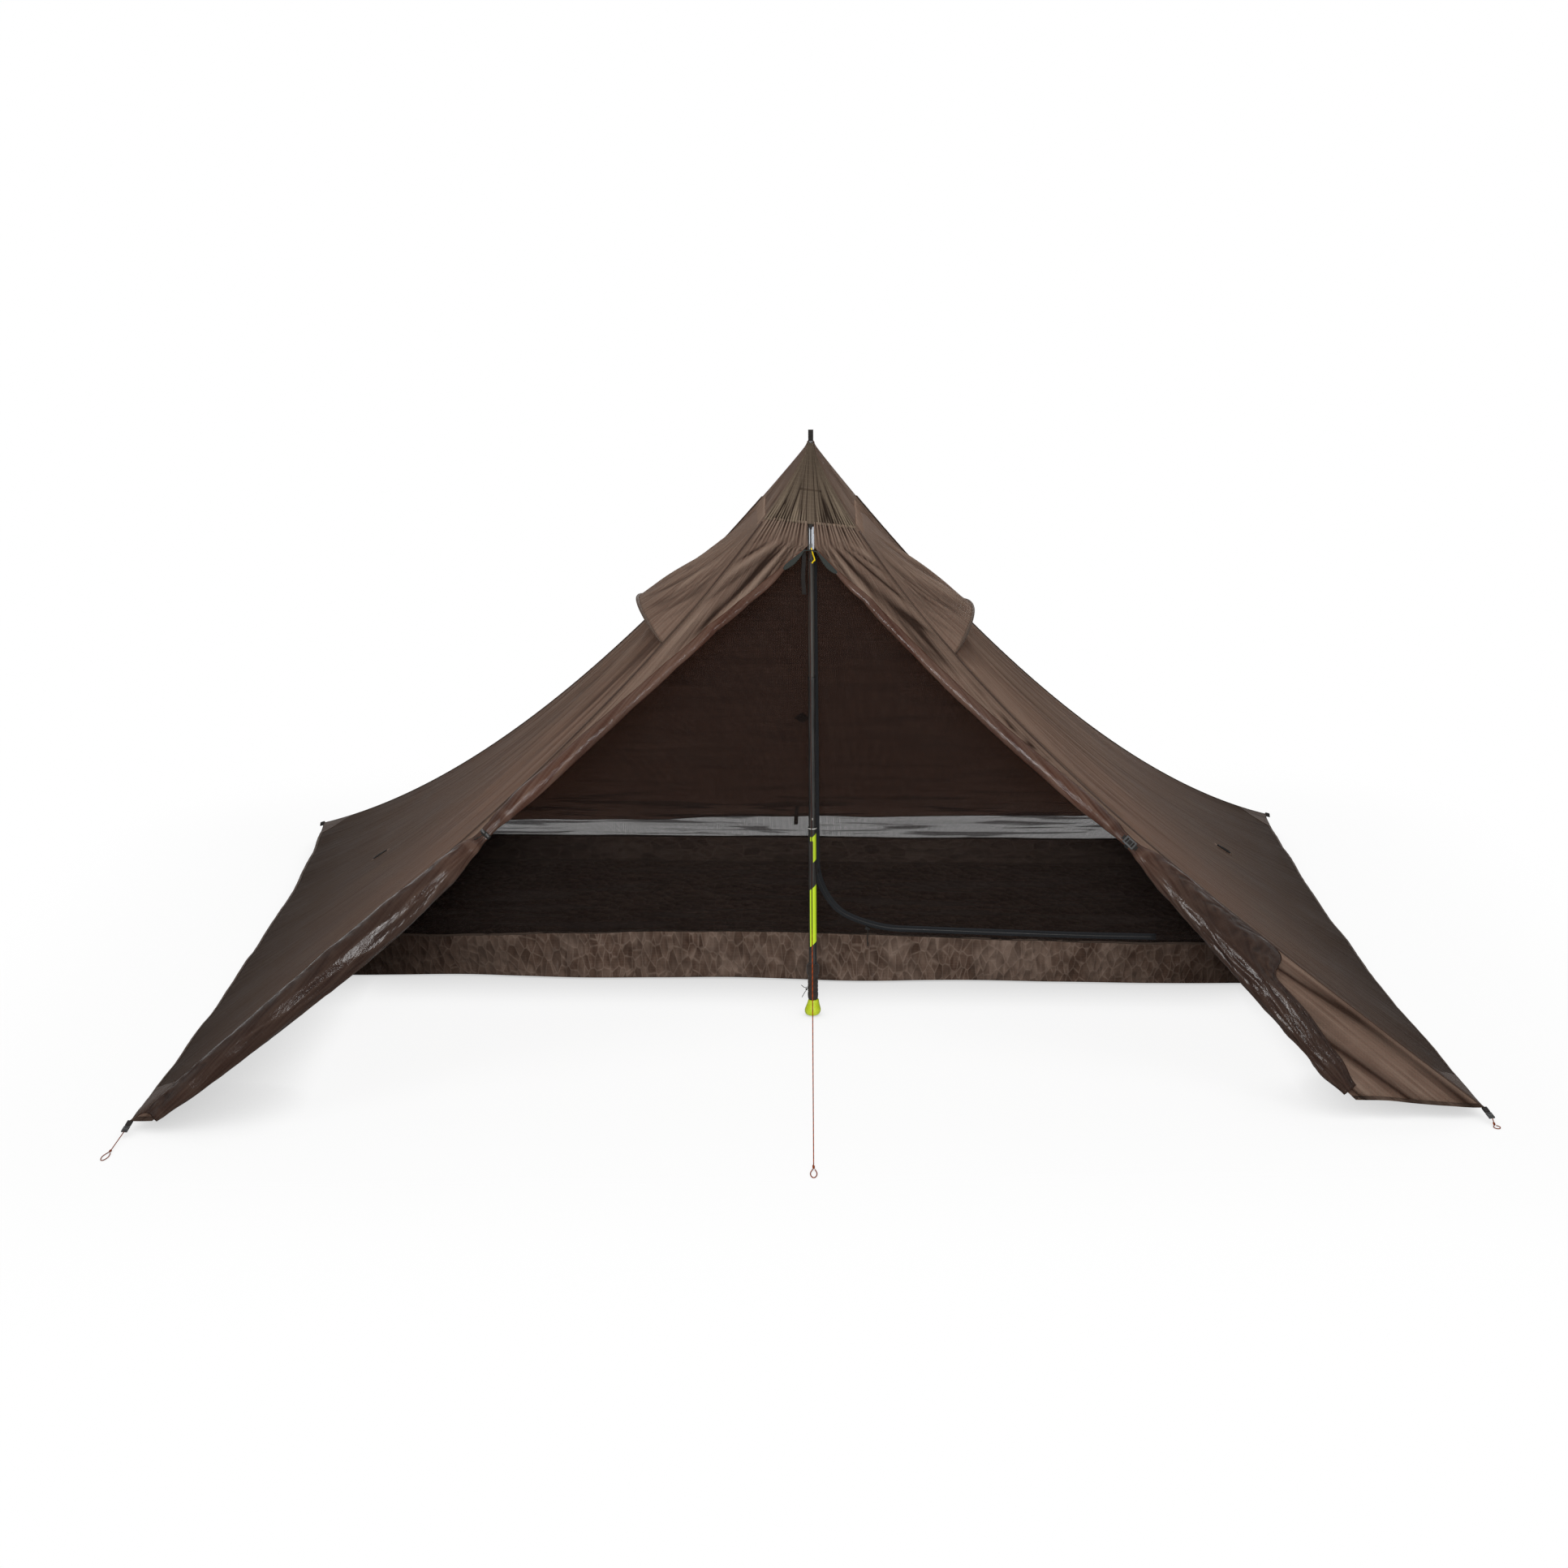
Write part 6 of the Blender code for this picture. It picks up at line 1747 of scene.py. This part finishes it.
def buildInnerZip():
    centre = ontoFrontPlane(Vector((inner["zipOffset"] + inner["arcRadius"], 0.0,
                                    inner["frontWall"] + inner["floorRise"] + inner["arcRadius"])))
    line = []
    rise = (fly["apexHeight"] - inner["zipTopDrop"] - centre.z) / planeUp.z
    for k in range(40):
        line.append((centre - planeAlong * inner["arcRadius"] + planeUp * (rise * (1 - k / 40)), -planeAlong))
    for k in range(31):
        angle = pi / 2 * (1 - k / 30)
        way = -planeAlong * sin(angle) - planeUp * cos(angle)
        line.append((centre + way * inner["arcRadius"], way))
    for k in range(1, 41):
        reach = planeAlong * (inner["zipRun"] * k / 40)
        line.append((centre - planeUp * inner["arcRadius"] + reach, -planeUp))
    last = len(line) - 1

    # The foot of the zip goes up with the net
    def lifted(point):
        return planeUp * (hump(point.x / 1.12) * smooth((0.20 - point.z) / 0.08))

    def place(across, along):
        point, way = line[int(along * last + 0.5)]
        ripple = 0.0005 * bumps(along * 40, across * 2, 5.0)
        point = point + lifted(point)
        return point + planeNormal * (0.0009 + ripple) + way * (inner["bandWidth"] * (across - 0.5))

    length = lineLength([point for point, way in line])
    tape = clothPiece("innerZipTape", 8, last, place, (inner["bandWidth"], length), innerWeave, fullCloth)
    sewnOn(tape, "inner_zip_tape")
    points = [point + planeNormal * 0.0014 + lifted(point) for point, way in line]
    sewnOn(tubePiece("innerZipCoil", blackPlastic, points, 0.0011, 8, 0.6))
    angle = inner["sliderAngle"]
    way = -planeAlong * sin(angle) - planeUp * cos(angle)
    run = planeAlong * cos(angle) - planeUp * sin(angle)
    seat = centre + way * inner["arcRadius"] + planeNormal * (0.0002 + zipper["webbing"] / 2 + 0.0006)
    slider = buildSlider("innerZipSlider", seat, way, run, planeNormal)
    squashed(fitted(slider, "inner_slider", "inner_zip_slider"))
    eye = seat + planeNormal * (zipper["sliderHeight"] + zipper["pullRadius"] + 0.0008)
    route = [eye + planeNormal * (0.0153 * k / 9) + Vector((0.0008 * sin(k), 0, -0.034 * k / 9))
             for k in range(10)]

    def pullAt(k):
        return 0.0013 * (1 + 0.5 * max(0, 1 - abs(k - 29) / 4))

    pull = tubePiece("innerZipPull", darkBraid, smoothRoute(route, 36), pullAt)
    squashed(fitted(pull, "inner_slider", "inner_zip_pull"))


def buildCrownFittings():
    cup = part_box("crown_cup")
    top, low = cup[1][2], cup[0][2]
    profile = [(0, top), (0.0048, top), (0.0055, top - 0.0012), (0.0055, low + 0.0006), (0.0050, low),
               (0.0043, low), (0.0041, low + 0.0008), (0.0041, top - 0.003), (0, top - 0.0022)]
    sewnOn(turnedPiece("crownCup", profile, blackPlastic, 40), "crown_cup")
    start = innerHip(left, False, inner["start"]).lerp(innerHip(right, False, inner["start"]), 0.5)
    start = Vector((0.0, start.y, start.z + 0.0011))
    low = Vector((0.0, 0.0064, top - 0.020))
    route = [start, start.lerp(low, 0.45), start.lerp(low, 0.9), low, Vector((0.0, 0.0064, top - 0.008))]
    line = smoothRoute(route, 31)

    def place(across, along):
        return line[int(along * 30 + 0.5)] + Vector((inner["strapWidth"] * (across - 0.5), 0, 0))

    sewnOn(clothPiece("innerCrownStrap", 6, 30, place, (0.010, 0.08), blackTape, 0.0011), "inner_crown_strap")


buildTub()
buildNets()
buildInnerZip()
buildCrownFittings()
print("stage: inner made")


# Pole, standing handle down: cap, foam grip, lacquered handle tube, two black tubes, collars and tip

pole = {"handleRadius": 0.0090, "wall": 0.0007, "gap": 0.0003, "handleBottom": 0.0450, "handleTop": 0.45003,
        "middleTop": 0.79998, "lowerTop": 1.2620, "overlap": 0.0650, "capHeight": 0.0380, "capRadius": 0.0186,
        "gripHeight": 0.0880, "gripRadius": 0.0122, "gripCollar": 0.0148, "lean": 0.0030}


def buildPole():
    middleRadius = pole["handleRadius"] - pole["wall"] - pole["gap"]
    lowerRadius = middleRadius - pole["wall"] - pole["gap"]
    r, h = pole["capRadius"], pole["capHeight"]
    profile = [(0, 0.0), (r * 0.50, 0.0), (r * 0.70, h * 0.03), (r * 0.88, h * 0.09), (r * 0.97, h * 0.18),
               (r, h * 0.29), (r * 0.985, h * 0.38), (r * 0.90, h * 0.52), (r * 0.80, h * 0.66),
               (r * 0.73, h * 0.80), (r * 0.68, h * 0.92), (r * 0.655, h * 0.97), (r * 0.60, h), (0, h)]
    cap = turnedPiece("gripCap", profile, limePlastic, 56, sharpFrom=50)
    for vertex in cap.data.vertices:
        vertex.co.x += pole["lean"] * (vertex.co.z / h - 0.5)
    fitted(cap, "canopy_and_handle", "pole_grip_cap")
    low = h + pole["gap"]
    top = low + pole["gripHeight"]
    g, c = pole["gripRadius"], pole["gripCollar"]
    profile = [(0.0095, low), (g * 0.84, low), (g * 0.95, low + 0.004), (g, low + 0.011)]
    for k in range(5):
        z = low + 0.016 + 0.0095 * k
        profile += [(g * 0.975, z), (g * 0.93, z + 0.0016), (g * 0.93, z + 0.0028), (g * 0.975, z + 0.0044)]
    profile += [(g, low + 0.060), (c * 0.97, low + 0.0635), (c, low + 0.067), (c, low + 0.080),
                (c * 0.97, low + 0.0835), (g * 1.02, low + 0.0855), (g * 0.95, top), (0.0093, top),
                (0.0093, pole["handleBottom"] - pole["gap"]), (0, pole["handleBottom"] - pole["gap"])]
    grip = turnedPiece("gripFoam", profile, gripFoam, 56, sharpFrom=60)
    fitted(grip, "canopy_and_handle", "pole_grip")
    tubes = (("handleTube", "canopy_and_handle", "pole_handle_tube", pole["handleRadius"],
              pole["handleBottom"], pole["handleTop"], handleFinish),
             ("middleTube", "pole_middle", "pole_middle_tube", middleRadius,
              pole["handleTop"] - pole["overlap"], pole["middleTop"], middleFinish),
             ("lowerTube", "pole_lower", "pole_lower_tube", lowerRadius,
              pole["middleTop"] - pole["overlap"], pole["lowerTop"], lowerFinish))
    for name, body, node, radius, low, high, finish in tubes:
        bore = radius - pole["wall"]
        profile = [(radius, low), (radius, high), (bore, high), (bore, low), (radius, low)]
        fitted(turnedPiece(name, profile, finish, 56), body, node)
    # The white line round the mouth of the handle tube
    ring = pole["handleTop"] + 0.0034
    outer = middleRadius + pole["gap"] + 0.0016
    profile = [(outer - 0.0004, ring - 0.0011), (outer + 0.0002, ring - 0.0008),
               (outer + 0.0002, ring + 0.0008), (outer - 0.0004, ring + 0.0011)]
    fitted(turnedPiece("whiteLine", profile, whitePlastic, 56), "canopy_and_handle")
    for name, body, node, radius in (("handleCollar", "canopy_and_handle", "pole_handle_ring", middleRadius),
                                     ("darkCollar", "pole_middle", "pole_middle_ring", lowerRadius)):
        low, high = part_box(node)[0][2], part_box(node)[1][2]
        bore, outer = radius + pole["gap"], radius + pole["gap"] + 0.0016
        profile = [(bore, low), (outer - 0.0004, low), (outer, low + 0.0005), (outer, high - 0.0008),
                   (outer - 0.0006, high), (bore, high), (bore, low)]
        fitted(turnedPiece(name, profile, blackPlastic, 56), body, node)
    low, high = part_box("pole_tip")[0][2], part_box("pole_tip")[1][2]
    base = pole["lowerTop"] + pole["gap"]
    stub = lowerRadius - pole["wall"] - pole["gap"]
    span = high - base
    r = lowerRadius
    profile = [(0, low), (stub, low), (stub, base), (r * 0.93, base), (r * 0.93, base + 0.004),
               (r * 0.86, base + 0.005), (r * 0.80, base + span * 0.30), (r * 0.84, base + span * 0.33),
               (r * 0.60, base + span * 0.62), (r * 0.46, base + span * 0.70), (0.0026, base + span * 0.80),
               (0.0024, high - 0.0008), (0.0016, high), (0, high)]
    fitted(turnedPiece("poleTip", profile, tipSteel, 40), "pole_lower", "pole_tip")
    for node in ("pole_middle_plug", "pole_lower_plug"):
        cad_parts[node].material_slots[0].material = blackPlastic


# A thin cord wound once round the grip and knotted, its two tails on the left
wrap = {"diameter": 0.0014, "height": 0.066, "climb": 0.026}


def buildWrapCord():
    radius = pole["gripRadius"] + pole["gap"] + wrap["diameter"] / 2
    height, climb = wrap["height"], wrap["climb"]
    route = [Vector((-radius * 1.95, -radius * 0.75, height - climb * 0.75)),
             Vector((-radius * 1.35, -radius * 0.55, height - climb * 0.25))]
    for k in range(19):
        angle = radians(198 + 310 * k / 18)
        route.append(Vector((radius * cos(angle), radius * sin(angle), height + climb * sin(pi * k / 18))))
    route.append(Vector((-radius * 1.45, radius * 0.62, height - climb * 0.10)))
    route.append(Vector((-radius * 2.05, radius * 0.40, height + climb * 0.18)))
    points = smoothRoute(route, 88)
    cord = tubePiece("gripCord", darkBraid, points, wrap["diameter"] / 2, 9)
    fitted(cord, "canopy_and_handle", "grip_wrap_cord")
    middle = Vector((-radius * 1.16, -radius * 0.30, height - climb * 0.08))
    line = []
    for k in range(31):
        angle = 2 * pi * k / 10
        line.append(middle + Vector((0.0016 * (k / 15 - 1), 0.0014 * cos(angle), 0.0017 * sin(angle))))
    knot = fitted(tubePiece("gripCordKnot", darkBraid, line, wrap["diameter"] * 0.48, 8), "canopy_and_handle")
    lineLength(points)


# Painted bands of the handle tube. Each is (low, high, slant, colour, least x, most x); its ends are cut
# on a slant, and the stripe above the long band lies on the right of the tube and hooks over at its top.
handleFinish = anodisedTube("lacqueredHandleTube", "#1b1a1a",
                            ((0.1740, 0.3120, -0.9, "#c3e32a", -0.0064, 1.0),
                             (0.3720, 0.4340, -0.9, "#b9d42c", 0.0014, 1.0),
                             (0.4240, 0.4340, 0.0, "#b9d42c", -0.0052, 0.0015)), 0.30)
middleFinish = anodisedTube("blackMiddleTube", "#1d1c1c",
                            ((0.4740, 0.4790, 0.0, "#8f8c86", -0.0020, 0.0016),), 1.0)
lowerFinish = anodisedTube("graphiteLowerTube", "#34322f", (), 0.35)
buildPole()
buildWrapCord()
print("stage: pole made")
